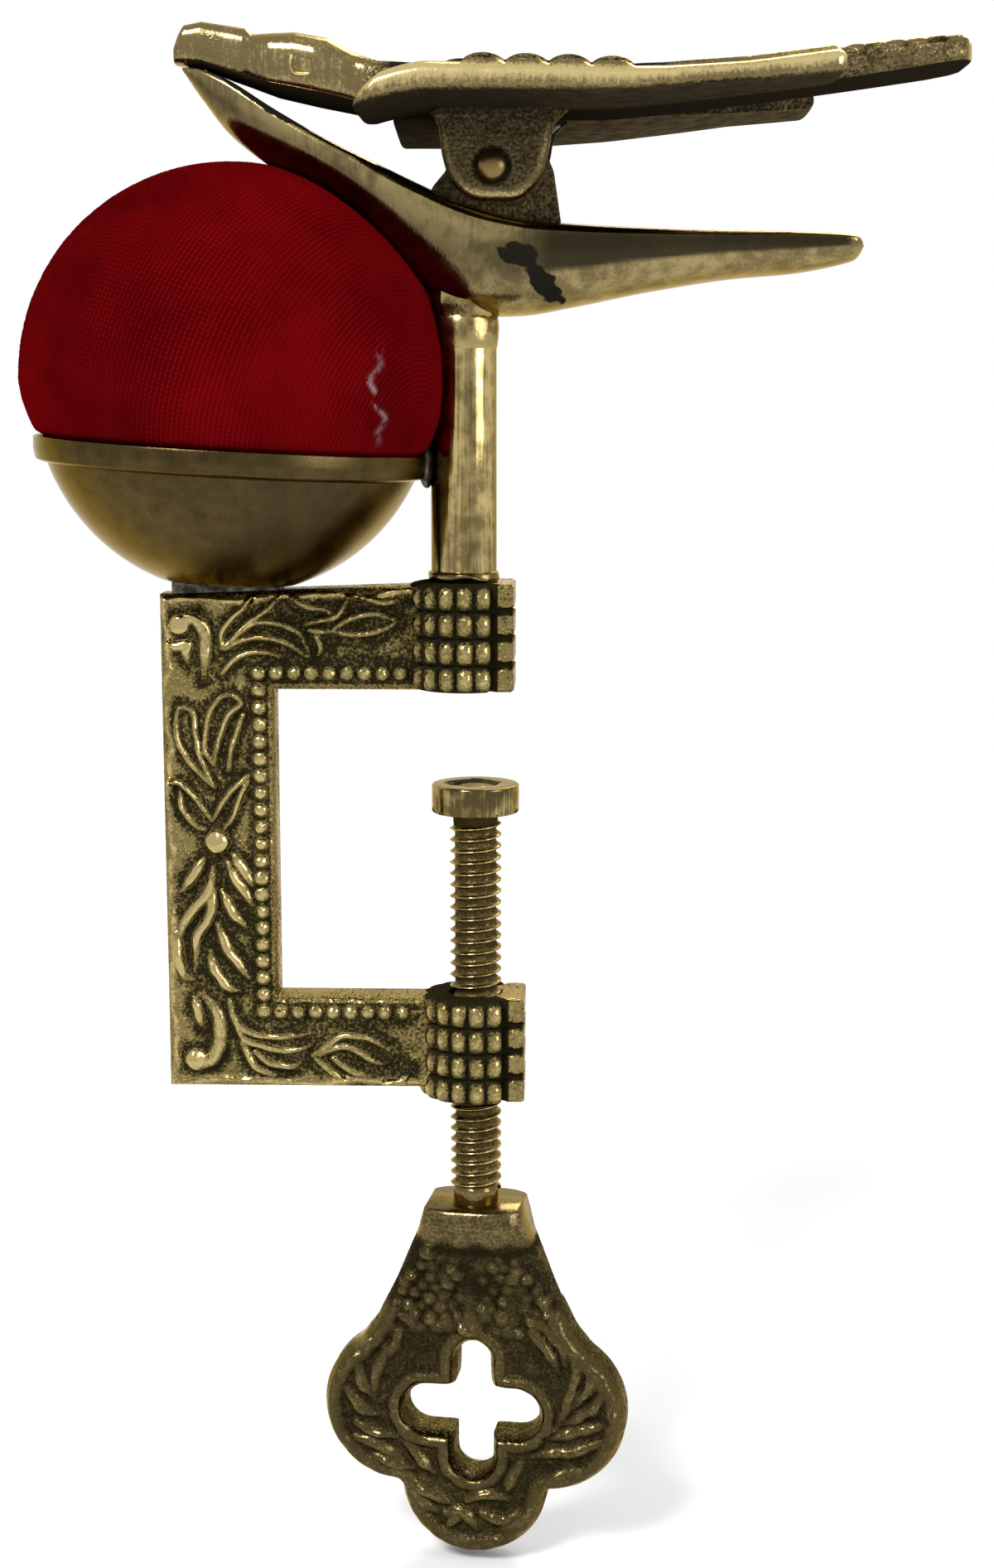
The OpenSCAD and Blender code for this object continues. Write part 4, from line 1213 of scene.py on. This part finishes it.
    def build(self, shop: Shop) -> None:
        """Builds the casting."""
        shop.piece("lower_bird_hull", self.hull(), BIRD, "clamp", "polished_bird_brass", ["bird_body"], 55)
        shop.piece("lower_bird_cheeks", self.upstand(), EAR, "clamp", "polished_bird_brass")
        shop.piece("lower_bird_neck", self.neck(), BRAZE, "clamp", "polished_bird_brass", [], 30)


@dataclass
class UpperBird:
    """The upper casting: head and beak, two wings, tail, and an ear each side of the cheeks."""

    belly: float = 50.4
    span: float = 35.0
    wing_fronts: Point2 = (-9.0, -7.2)
    wing_end: float = 31.7
    beak_tip: float = -25.1
    tail_end: float = 43.5

    def climb(self, x: Array) -> Array:
        """Returns how far the underside has climbed at x."""
        return 3.9 * unit((x - 12.2) / 31.3) ** 1.3

    def middle(self) -> Mesh:
        """Returns head, back and tail, both faces of one slab with rounded sides."""
        xs = [-25.1, -24.4, -21.0, -19.0, -16.6, -12.5, -9.0, -6.0, -1.0, 9.0, 16.1, 23.0, 33.9, 41.0, 42.9,
              43.5]
        ws = [1.7, 1.95, 2.25, 2.5, 4.1, 4.8, 4.6, 5.6, 5.9, 5.9, 5.2, 4.6, 5.8, 6.6, 5.8, 4.2]
        tops = [(-25.1, 56.3), (-24.8, 57.2), (-24.3, 58.1), (-22.7, 58.4), (-19.5, 57.9), (-18.7, 57.75),
                (-18.2, 57.25), (-14.4, 57.35), (-11.5, 56.8), (-9.3, 55.6), (-7.2, 54.8), (-3.0, 54.4),
                (4.0, 54.2), (12.2, 53.8), (18.0, 53.7), (25.0, 54.4), (34.0, 55.5), (42.5, 56.2),
                (43.5, 55.7)]
        feet = [(-25.1, 54.8), (-22.7, 54.45), (-20.1, 53.45), (-16.2, 52.1), (-12.6, 51.3), (-9.0, 50.6),
                (-6.0, 50.4), (12.2, 50.4)]
        bm, u, v = grid(400, 132)
        x = self.beak_tip + (self.tail_end - self.beak_tip) * u
        half = np.interp(x, xs, ws)
        top = np.interp(x, *zip(*tops))
        low = np.where(x < 12.2, np.interp(x, *zip(*feet)), self.belly + self.climb(x))
        a = v * 2 * math.pi
        c, n = np.cos(a), np.sin(a)
        power = 0.34 + 0.26 * unit((-4 - x) / 6)
        y = half * np.sign(c) * np.abs(c) ** power
        z = (top + low) / 2 + (top - low) / 2 * np.sign(n) * np.abs(n) ** power
        work = Relief(x, y)
        for i in range(10):
            for j in range(-3, 4):
                work.dome(28.4 + 1.7 * i, 2.1 * j + (i % 2) * 1.05, 1.08, 0.42)
        on_top = (x > 26) * unit((n - 0.35) / 0.3)
        z = z + work.height * on_top
        end = bell(x, self.tail_end, 0.5)
        relief = np.where(n > 0.35, -0.06 + 1.0 * work.height, 0.2)
        relief = np.where(x < -6, 0.44 - 0.35 * bell(x, -6.5, 2.0), relief)
        relief = np.where((n < -0.55) & (x > -24), -0.6, np.where(x > 42.7, 0.45 * end + 0.2, relief))
        shape(bm, np.column_stack([x, y, z]), relief=relief)
        weld(bm)
        close(bm)
        return bm

    def wing(self, side: int) -> Mesh:
        """Returns a wing, with a bright rolled rim and rows of feathers on top; side is -1 or 1 along Y."""
        bm, u, v = grid(260, 128)
        front_r, end_r, edge = 1.3, 1.2, self.span / 2
        front = self.wing_fronts[side > 0]
        x = front + (self.wing_end - front) * (0.5 - 0.5 * np.cos(math.pi * u))
        ahead, behind = x - front, self.wing_end - x
        outer = edge - bullnose(ahead, front_r, front_r) - bullnose(behind, end_r, end_r)
        inner = np.interp(x, [front, front + 1.5, 13.1, self.wing_end], [4.4, 0.5, 3.5, edge - 7.3])
        inner = inner + bullnose(behind, end_r, end_r)
        a = v * 2 * math.pi
        c, n = np.cos(a), np.sin(a)
        across = 0.5 + 0.5 * np.sign(c) * np.abs(c) ** 0.30
        thick = np.interp(x, [-7.8, -3.5, 3, 10, 17, 24, 31.7], [3.2, 2.9, 2.7, 2.5, 2.1, 2.0, 2.3])
        round_end = np.sqrt(unit(1 - (1 - unit(np.minimum(ahead, behind) / 1.1)) ** 2))
        up = 0.5 + 0.5 * np.sign(n) * np.abs(n) ** 0.42 * round_end
        round_side = np.where(up > 0.5, 1.2, 0.5) * (1 - np.sqrt(unit(1 - (2 * up - 1) ** 2)))
        y = inner + (outer - round_side - inner) * across
        droop = (1.25 + 0.1 * up) * unit((-2.2 - x) / 6.4) ** 1.4
        if side > 0:
            droop = np.interp(x, [0, 8, 16, 24], [1.5, 1.2, 0.6, 0.1]) * across
        z = self.belly + 0.65 * self.climb(x) + thick * up - droop
        lean = 2.6 * up * unit(1 - ahead / 6)
        work = Relief(x, y)
        for j in range(4):
            for i in range(4):
                if edge - 2.4 - 2.9 * j > 4:
                    work.dome(2.35 + 3.5 * i - (j % 2) * 1.7, edge - 2.4 - 2.9 * j, 1.8, 0.55)
        for j in range(5):
            rib = [(15.0, edge - 2.4 - 2.2 * j), (22.0, edge - 1.9 - 1.8 * j), (30.6, edge - 1.4 - 1.4 * j)]
            work.ridge(rib, 0.62, 0.34, (0.8, 1, 1, 0.9))
        on_top = unit((n - 0.3) / 0.3)
        z = z + work.height * on_top * unit((outer - y - 0.6) / 0.8)
        tips = np.abs(np.sin(math.pi * (x - 0.6) / 3.5)) ** 0.7 * (x > 0.6) * (x < 14.6)
        z = z + 0.5 * tips * on_top * unit(1 - (outer - y) / 4)
        rim = unit(1 - np.minimum.reduce([outer - y, ahead - lean, behind]) / 1.9) ** 0.6
        rim = rim * unit((n + 0.93) / 0.15)
        # Towards its lower edge the rim is darkened as painted shade, leaving a painted highlight along its
        # upper part.
        rim = rim - 0.12 * bell(x, 22, 5) - 0.95 * unit((0.66 - up) / 0.66)
        relief = np.maximum(rim - 0.55 * on_top * tips, np.where(n > 0.2, -0.05 + 0.5 * work.height, -0.6))
        relief = np.where((c < -0.3) & (n > -0.6) & (n < 0.9), 0.1, relief)
        bare = (n < -0.4) * np.clip((x - 2) / 8, 0.3, 1) * (0.35 + 0.65 * (side > 0))
        shape(bm, np.column_stack([x + lean, side * y, z]), relief=relief, bare=bare)
        weld(bm)
        close(bm)
        return bm

    def ear(self, side: int) -> Mesh:
        """Returns an ear that flares into the wing, hollowed round the pin; side is -1 or 1 along Y."""
        bm, u, v = grid(180, 48)
        turn = u * 2 * math.pi
        line = [
            (-6.0, 4.9), (-4.95, 4.0), (-4.5, 2.8), (-4.3, 1.0), (-3.65, -1.0), (-2.7, -2.15), (-1.4, -2.75),
            (0, -2.85), (2.0, -2.8), (3.2, -2.1), (4.3, -0.7), (4.85, 1.2), (5.15, 2.8), (5.6, 3.9),
            (6.8, 4.9),
        ]
        path = smooth_path(line, 8)
        path = np.vstack([path, [[4.0, 4.9], [2.0, 4.9], [0, 4.9], [-2.0, 4.9], [-6.0, 4.9]]])
        angle = np.unwrap(np.arctan2(path[:, 1], path[:, 0]))
        far = np.hypot(path[:, 0], path[:, 1])
        order = np.argsort(angle % (2 * math.pi))
        reach = np.interp(turn, (angle % (2 * math.pi))[order], far[order], period=2 * math.pi)
        away = 0.9 + (reach - 0.9) * v
        x, z = away * np.cos(turn), away * np.sin(turn)
        edge = np.where(z > 4.2, 9.0, reach - away)
        sunk = 0.26 * unit(1 - np.abs(away - 1.35) / 0.45)
        y = 5.9 - bullnose(edge, 0.95, 0.8) - sunk + 1.1 * unit((z - 2.9) / 2.0) ** 2
        worn = unit((-z - 1.0) / 1.4) * unit(1 - edge / 1.4)
        relief = 0.08 + 0.75 * worn - 2.4 * sunk + 0.3 * bell(edge, 0.5, 0.4)
        relief = relief - 0.3 * unit((z - 2.0) / 2.5)
        shape(bm, np.column_stack([PIVOT_X + x, side * y, PIVOT_Z + z]), relief=relief)
        weld(bm)
        middle = Vector((PIVOT_X * MM, 0, PIVOT_Z * MM))
        outer = [
            e for e in bm.edges
            if e.is_boundary and (Vector((e.verts[0].co.x, 0, e.verts[0].co.z)) - middle).length > 1.5 * MM
        ]
        for vert in grown(bm, outer)[0]:
            vert.co.y = side * 4.1 * MM
        close(bm)
        return bm

    def eye(self, side: int) -> Mesh:
        """Returns the raised line of an eye on the head's side; side is -1 or 1 along Y."""
        flat = smooth_path([
            (-14.4, 55.3), (-13.0, 55.5), (-11.7, 55.0), (-11.3, 54.3), (-12.2, 53.7), (-14.1, 53.5),
            (-14.6, 54.3), (-14.4, 55.3),
        ], 6)[:-1]
        ahead = np.roll(flat, -1, 0) - np.roll(flat, 1, 0)
        path = [Vector((x, side * (4.55 - 0.35 * max(0.0, z - 54.4)), z)) * MM for x, z in flat]
        bm = tube(path, [Vector((x, 0, z)) for x, z in ahead], 0.17, 8, True)
        return mark(bm, relief=lambda p: np.full(len(p), 0.7))

    def build(self, shop: Shop) -> None:
        """Builds the casting and its pin."""
        slot = "textured_bird_brass"
        shop.piece("upper_bird_back", self.middle(), FEATHERS, "upper_bird", slot, ["bird_top"], 50)
        for side, hand in ((-1, "near"), (1, "far")):
            shop.piece(f"{hand}_wing", self.wing(side), FEATHERS, "upper_bird", slot, [], 50)
            shop.piece(f"{hand}_ear", self.ear(side), EAR, "upper_bird", slot, [], 50)
            shop.piece(f"{hand}_eye", self.eye(side), FEATHERS, "upper_bird", slot)
        half = [(1.0, 0.0), (1.0, 5.6), (1.28, 5.7), (1.27, 6.1), (1.0, 6.48), (0.5, 6.68), (0.01, 6.72)]
        bm = turned([(r, -z) for r, z in half[::-1]] + half[1:], 48)
        placed(bm, PIVOT_X, PIVOT_Z, 90, "X")
        shop.piece("rivet_pin", bm, PIN, "upper_bird", "pin_brass", ["pivot_pin"])


@dataclass
class BeakSpring:
    """The torsion spring on the pin."""

    coil_r: float = 1.9
    turns: float = 2.5
    pitch: float = 1.25
    wire: float = 0.35
    leg_x: float = 8.3

    def build(self, shop: Shop) -> None:
        """Builds the wire."""
        start = -self.pitch * self.turns / 2
        coil = []
        for i in range(int(20 * self.turns) + 1):
            a = math.radians(-90 - 360 * i / 20)
            x, z = PIVOT_X + self.coil_r * math.cos(a), PIVOT_Z + self.coil_r * math.sin(a)
            coil.append((x, start + self.pitch * i / 20, z))
        low = [(self.leg_x, start, 41.6), (6.9, start, 42.7), (5.0, start, 43.55)]
        high = [(5.0, -start, 47.75), (6.9, -start, 48.7), (self.leg_x, -start, 49.95)]
        path = [Vector(p) * MM for p in [*low, *coil, *high]]
        ways = [b - a for a, b in zip([path[0], *path], [*path[1:], path[-1]])]
        bm = tube(path, ways, self.wire, 12, False)
        wire = shop.piece("spring_wire", bm, STEEL, None, "spring_steel", ["beak_spring"], 180)
        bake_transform(wire)


@dataclass
class ScrewAndPad:
    """The clamp screw with a cut right-hand thread, and the pad on its peened end."""

    x: float = 1.0
    crest: float = 2.38
    root: float = 1.90
    pitch: float = 1.058
    turns: int = 33
    foot: float = -47.41
    per_turn: int = 48
    pad_top: float = -8.8
    pad_foot: float = -11.4

    def thread(self) -> Mesh:
        """Returns the thread, turned out of one tooth."""
        bm = bmesh.new()
        layer = bm.verts.layers.float.new("relief")
        tooth = [(self.root, 0.0), (self.root + 0.02, 0.22), (self.crest - 0.1, 0.44), (self.crest, 0.50),
                 (self.crest, 0.56), (self.crest - 0.1, 0.62), (self.root + 0.02, 0.84), (self.root, 1.0)]
        verts = []
        for r, share in tooth:
            vert = bm.verts.new((r * MM, 0, (self.foot + (share - 0.5) * self.pitch) * MM))
            vert[layer] = (r - self.root) / (self.crest - self.root) * 0.5 + 0.06
            verts.append(vert)
        edges = [bm.edges.new(pair) for pair in zip(verts, verts[1:])]
        bmesh.ops.spin(
            bm, geom=verts + edges, axis=(0, 0, 1), cent=(0, 0, 0), angle=2 * math.pi * self.turns,
            steps=self.per_turn * self.turns, dvec=(0, 0, self.pitch * MM / self.per_turn), use_merge=False,
        )
        weld(bm)
        return placed(bm, self.x)

    def part(self, profile: Sequence[Point2], **rules: Callable[[Array], Array]) -> Mesh:
        """Returns a turned piece on the screw's axis, marked with the numbers that the rules work out."""
        return placed(mark(turned(profile, 72), **rules), self.x)

    def build(self, shop: Shop) -> None:
        """Builds the screw and the pad."""
        shop.piece("screw_thread", self.thread(), SCREW, "screw", "screw_brass", ["clamp_screw"], 70)
        necks = rounded([(0.01, -12.9), (2.0, -12.9), (2.1, -11.5), (1.3, -11.45), (1.3, -9.45), (1.88, -9.4),
                         (1.8, -9.05), (0.9, -8.92), (0.01, -8.9)], 0.12)
        dark = self.part(necks, relief=lambda p: np.where(p[:, 2] > -9.5, 0.2, -0.1))
        shop.piece("screw_head", dark, SCREW, "screw", "screw_brass")
        shank = rounded([(0.01, -49.6), (2.1, -49.6), (2.1, -47.3), (1.9, -46.9), (0.01, -46.9)], 0.12)
        shank_bm = self.part(shank, relief=lambda p: np.full(len(p), 0.3))
        shop.piece("screw_shank", shank_bm, SCREW, "screw", "screw_brass")
        pad = rounded([(1.36, self.pad_foot), (4.0, self.pad_foot), (4.0, self.pad_top), (2.05, self.pad_top),
                       (2.0, self.pad_top - 0.6), (1.36, self.pad_top - 0.62), (1.36, self.pad_foot)], 0.22)

        def brown(p: Array) -> Array:
            """Returns how brown the pad is, most on its top inside the rim."""
            return np.where((p[:, 2] > self.pad_top - 0.15) & (np.hypot(p[:, 0], p[:, 1]) < 3.8), 0.85, 0.1)

        def darkening(p: Array) -> Array:
            """Returns how dark the pad is, in its hollow and round its foot."""
            hollow = (np.hypot(p[:, 0], p[:, 1]) < 2.4) * (p[:, 2] > self.pad_top - 0.8)
            return 0.55 * hollow + 0.5 * (p[:, 2] < self.pad_foot + 0.25)

        worn = self.part(pad, tarnish=brown, stain=darkening)
        shop.piece("swivel_pad", worn, PAD, "pad", "pad_brass", ["pressure_pad"])


@dataclass
class ThumbKey:
    """The cast key: filed shoulder, pebbled throat, and four-lobed head with leaves and a window."""

    x: float = 1.0
    top: float = -48.61
    turn: float = -7.5
    height: float = 34.8
    width: float = 29.0
    lobe_r: float = 7.6
    foot_r: float = 7.0
    centre: float = -20.4
    bar: float = 4.4
    stem: float = 3.7

    def outline(self) -> Array:
        """Returns the head's outline round its middle, as far points by angle from 0 to 360 degrees."""
        angles = np.radians(np.arange(0, 360, 0.5))
        side = self.width / 2 - self.lobe_r
        discs = [(side, 0, self.lobe_r), (-side, 0, self.lobe_r),
                 (0, self.foot_r - self.height - self.centre, self.foot_r)]
        neck = [(4.45, 20.4), (5.0, 18.4), (6.2, 15.6), (7.4, 12.7), (8.6, 10.3), (9.6, 8.2), (10.9, 6.6),
                (side, 0)]
        reach = np.zeros_like(angles)
        for cx, cz, r in discs:
            along = cx * np.cos(angles) + cz * np.sin(angles)
            off = cx * np.sin(angles) - cz * np.cos(angles)
            hit = along + np.sqrt(np.clip(r * r - off * off, 0, None))
            reach = np.maximum(reach, np.where(np.abs(off) < r, hit, 0))
        for sign in (-1, 1):  # the neck's straight sides, then the foot
            line = [(0, 20.4), *neck, (self.foot_r + 0.6, -7.0), (0, self.foot_r - self.height - self.centre)]
            for (x0, z0), (x1, z1) in zip(line, line[1:]):
                x0, x1 = sign * x0, sign * x1
                dx, dz = x1 - x0, z1 - z0
                bottom = np.cos(angles) * dz - np.sin(angles) * dx
                with np.errstate(divide="ignore", invalid="ignore"):
                    t = (x0 * dz - z0 * dx) / bottom
                    s = (x0 * np.sin(angles) - z0 * np.cos(angles)) / bottom
                good = (t > 0) & (s >= -1e-6) & (s <= 1 + 1e-6)
                reach = np.maximum(reach, np.where(good, np.nan_to_num(t), 0))
        sharp = reach
        for _ in range(2):
            reach = sum(np.roll(reach, k) for k in range(-3, 4)) / 7
        return np.where(np.sin(angles) > 0.93, sharp, reach)

    def pierced(self, angles: Array) -> Array:
        """Returns how far the window reaches at each angle, with sharp corners below and soft ones above."""
        arms = []
        for turn, half, out in (
            (0, self.bar / 2, 4.05), (90, 0.85 * self.stem / 2, 5.2), (180, self.bar / 2, 4.4),
            (270, self.stem / 2, 4.55),
        ):
            a = angles - math.radians(turn)
            c, s = np.cos(a), np.sin(a)
            lobe = out * c + np.sqrt(np.clip(half**2 - (out * s) ** 2, 0, None))
            wall = half / np.maximum(np.abs(s), 1e-6)
            arm = np.where(wall * c < out, wall, lobe)
            arms.append(np.where(c > 0.02, arm, 0.01))
        power = np.where(np.sin(angles) > 0, 4.5, 30.0)
        most = np.maximum.reduce(arms)
        return most * sum((arm / most) ** power for arm in arms) ** (1 / power)

    def carving(self, work: Relief, outer: Array, inner: Array) -> None:
        """Draws the rims, leaves, spike and pebbles.

        Args:
            work: the relief, whose points are X and Z from the key's top.
            outer: each point's distance to the head's edge.
            inner: each point's distance to the window's edge.
        """
        below = unit((-9.0 - work.z) / 2)
        work.raised((1 - ((outer - 0.95) / 0.95) ** 2) * below, 0.6, 0.7)
        work.raised(1 - ((inner - 0.85) / 0.85) ** 2, 0.6, 0.7)
        leaves = [
            [(5.6, -11.9), (7.2, -13.8), (8.3, -15.9)], [(6.9, -11.6), (8.5, -13.5), (8.9, -15.2)],
            [(10.0, -14.0), (9.7, -16.8), (8.8, -19.6), (7.9, -21.8)],
            [(11.4, -15.1), (11.0, -17.3), (9.6, -19.3)],
            [(12.3, -17.9), (11.4, -19.3), (8.8, -21.0)], [(12.2, -20.9), (9.6, -21.7), (7.4, -22.5)],
            [(12.0, -22.6), (9.6, -23.7), (7.5, -23.9), (5.4, -24.5)],
            [(9.9, -25.4), (7.8, -26.4), (6.2, -27.7)],
            [(-9.1, -13.1), (-11.0, -14.3), (-11.8, -15.4)], [(-7.0, -12.6), (-7.7, -14.6), (-8.2, -15.4)],
            [(-8.3, -14.6), (-9.3, -17.1), (-9.4, -19.6)], [(-8.5, -15.4), (-9.1, -16.3), (-9.7, -17.1)],
            [(-11.0, -16.5), (-10.6, -18.2), (-9.6, -19.6)], [(-12.1, -18.8), (-10.8, -20.6), (-9.1, -21.2)],
            [(-11.3, -22.1), (-9.7, -22.9), (-7.3, -23.3)], [(-11.3, -23.5), (-9.0, -24.3), (-6.8, -25.7)],
            [(-6.3, -24.0), (-5.0, -25.4), (-3.6, -26.9)], [(-9.5, -25.4), (-7.1, -26.2), (-5.8, -26.5)],
            [(-0.5, -29.2), (1.4, -28.5), (3.5, -28.9)], [(0.9, -30.6), (3.0, -31.0), (4.7, -30.0)],
            [(-2.6, -30.7), (-1.0, -30.5), (0.5, -32.2)], [(-5.9, -27.8), (-5.0, -29.6), (-3.4, -30.7)],
            [(4.6, -25.2), (3.7, -26.9), (3.0, -28.6)], [(6.6, -27.4), (5.1, -30.5), (2.2, -32.3)],
            [(-5.8, -28.2), (-3.7, -29.0), (-1.8, -29.8)], [(-2.3, -31.8), (-1.6, -31.2), (-1.0, -30.6)],
        ]
        for line in leaves:
            work.ridge(line, 0.76, 0.72, (0.7, 1, 1, 0.4), 0.9)
        work.ridge([(-0.3, -6.2), (-0.25, -9.2), (-0.2, -12.6)], 1.25, 0.6, (0.1, 0.4, 0.8, 1.15), 0.9)
        rng = np.random.default_rng(5)
        for row in range(8):
            for col in range(-6, 7):
                x = 1.35 * col + (row % 2) * 0.65 + rng.uniform(-0.35, 0.35)
                z = -4.6 - 1.08 * row + rng.uniform(-0.3, 0.3)
                size, rise = rng.uniform(0.6, 1.0), rng.uniform(0.35, 0.85)
                if abs(x) < 4.6 + 0.42 * (-z - 3) and abs(x) > 0.8:
                    work.dome(x, z, size, rise, 2.0, 0.9)

    def build(self, shop: Shop) -> None:
        """Builds the key as a ring between the window and the outline, with its work on both faces."""
        bm, u, v = grid(720, 60)
        angle = u * 2 * math.pi
        angles = np.radians(np.arange(0, 360.1, 0.5))
        ring, hole = np.append(self.outline(), self.outline()[:1]), self.pierced(angles)
        far, near = np.interp(angle, angles, ring), np.interp(angle, angles, hole)
        away = near + (far - near) * v
        x, z = away * np.cos(angle), self.centre + away * np.sin(angle)
        work = Relief(x, z)
        outer, inner = (
            work.near(np.column_stack([reach * np.cos(angles), self.centre + reach * np.sin(angles)])[::3])[0]
            for reach in (ring, hole)
        )
        self.carving(work, outer, inner)
        drawn = work.height.copy()
        work.lumps(1.0, 0.12, 8)
        depth = np.interp(z, [-35.4, -9.5, -3.4, -1.6, 0], [2.1, 2.1, 3.9, 4.15, 3.9])
        across = np.abs(x) / np.interp(z, [-9.5, -4.2, -2, 0], [9, 5.7, 4.95, 4.45])
        depth = depth * np.where(z > -9.5, unit(1 - 0.3 * unit(across) ** 4), 1)
        edge = np.minimum(outer, inner)
        band = unit((z + 3.4 - 0.25 * np.sin(2.1 * x)) / 0.5)
        height = np.maximum(work.height, -0.12) * unit(edge / 0.5) * (1 - band)
        relief = (1.1 * drawn**1.6 + 0.04) * (1 - band) + 0.66 * band - 0.12 * bell(z, -7.5, 4) * (1 - band)
        # The dark line just under the filed band is painted shade.
        relief = relief - 0.25 * bell(z, -3.9, 0.45) + 0.15 * unit(1 - edge / 0.6)
        fall = bullnose(edge, 1.5, 1.15) * np.clip((-1.0 - z) / 2, 0.25, 1)
        shape(bm, np.column_stack([x, -depth - height + fall, z]), relief=relief)
        weld(bm)
        both_faces(bm)
        placed(bm, self.x, self.top, self.turn)
        shop.piece("key_casting", bm, KEY, "screw", "aged_key_brass", ["thumb_key"], 55)


@dataclass
class Set:
    """The floor, the lamps, the world and the camera."""

    floor: float = -84.2
    floor_r: float = 6000.0
    aim: float = -10.0
    lamps: ClassVar[tuple[tuple[str, Colour, float, float], ...]] = (  # name, place and size in metres, watts
        ("key_light", (-0.28, -0.48, 0.50), 0.20, 5.0),
        ("fill_light", (0.55, -0.30, 0.16), 0.30, 1.6),
        ("back_light", (0.15, 0.50, 0.42), 0.34, 2.6),
    )
    stand: Colour = (9.72, -217.0, 27.45)
    pitch: float = 80.5
    yaw: float = 1.78
    lens: float = 55.15
    sensor: float = 36.0

    def build(self, shop: Shop) -> None:
        """Sets the scene."""
        bm = bmesh.new()
        bmesh.ops.create_circle(bm, cap_ends=True, segments=96, radius=self.floor_r * MM)
        bmesh.ops.translate(bm, verts=bm.verts, vec=(0, 0, self.floor * MM))
        shop.show("floor", bm, Studio())
        for lamp in self.lamps:
            self.lamp(*lamp)
        self.world()
        self.camera()

    def lamp(self, name: str, place: Colour, size: float, watts: float) -> None:
        """Hangs a soft square lamp that looks at the object's middle."""
        data = bpy.data.lights.new(name, "AREA")
        data.size, data.energy = size, watts
        lamp = bpy.data.objects.new(name, data)
        lamp.location = place
        aim = Vector((0, 0, self.aim * MM)) - Vector(place)
        lamp.rotation_euler = aim.to_track_quat("-Z", "Y").to_euler()
        bpy.context.scene.collection.objects.link(lamp)

    def world(self) -> None:
        """Makes a white background over plain grey light."""
        world = bpy.data.worlds.new("studio")
        world.use_nodes = True
        tree = world.node_tree
        path = tree.nodes.new("ShaderNodeLightPath")
        seen = path.outputs["Is Camera Ray"]
        for name in ("Is Glossy Ray", "Is Transmission Ray"):
            most = tree.nodes.new("ShaderNodeMath")
            most.operation = "MAXIMUM"
            tree.links.new(seen, most.inputs[0])
            tree.links.new(path.outputs[name], most.inputs[1])
            seen = most.outputs[0]
        plain = tree.nodes["Background"]
        plain.inputs["Color"].default_value = (0.62, 0.62, 0.62, 1)
        white = tree.nodes.new("ShaderNodeBackground")
        white.inputs["Color"].default_value = (1, 1, 1, 1)
        mix = tree.nodes.new("ShaderNodeMixShader")
        tree.links.new(seen, mix.inputs[0])
        tree.links.new(plain.outputs[0], mix.inputs[1])
        tree.links.new(white.outputs[0], mix.inputs[2])
        tree.links.new(mix.outputs[0], tree.nodes["World Output"].inputs["Surface"])
        bpy.context.scene.world = world

    def camera(self) -> None:
        """Stands the camera where the photograph was taken from."""
        data = bpy.data.cameras.new("photo_camera")
        data.lens, data.sensor_width, data.clip_start = self.lens, self.sensor, 0.01
        camera = bpy.data.objects.new("photo_camera", data)
        camera.location = Vector(self.stand) * MM
        camera.rotation_euler = (math.radians(self.pitch), 0, math.radians(self.yaw))
        bpy.context.scene.collection.objects.link(camera)
        bpy.context.scene.camera = camera


def main() -> None:
    """Builds the object and its set."""
    logging.basicConfig(level=logging.INFO, format="%(message)s")
    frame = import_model()
    bpy.context.scene.view_settings.view_transform = "Standard"
    shop = Shop(frame["nodes"])
    for part in (
        Set(), ClampFrame(), PostAndBrazing(), CupAndCushion(), LowerBird(), UpperBird(), BeakSpring(),
        ScrewAndPad(), ThumbKey(),
    ):
        part.build(shop)


if __name__ == "__main__":
    main()
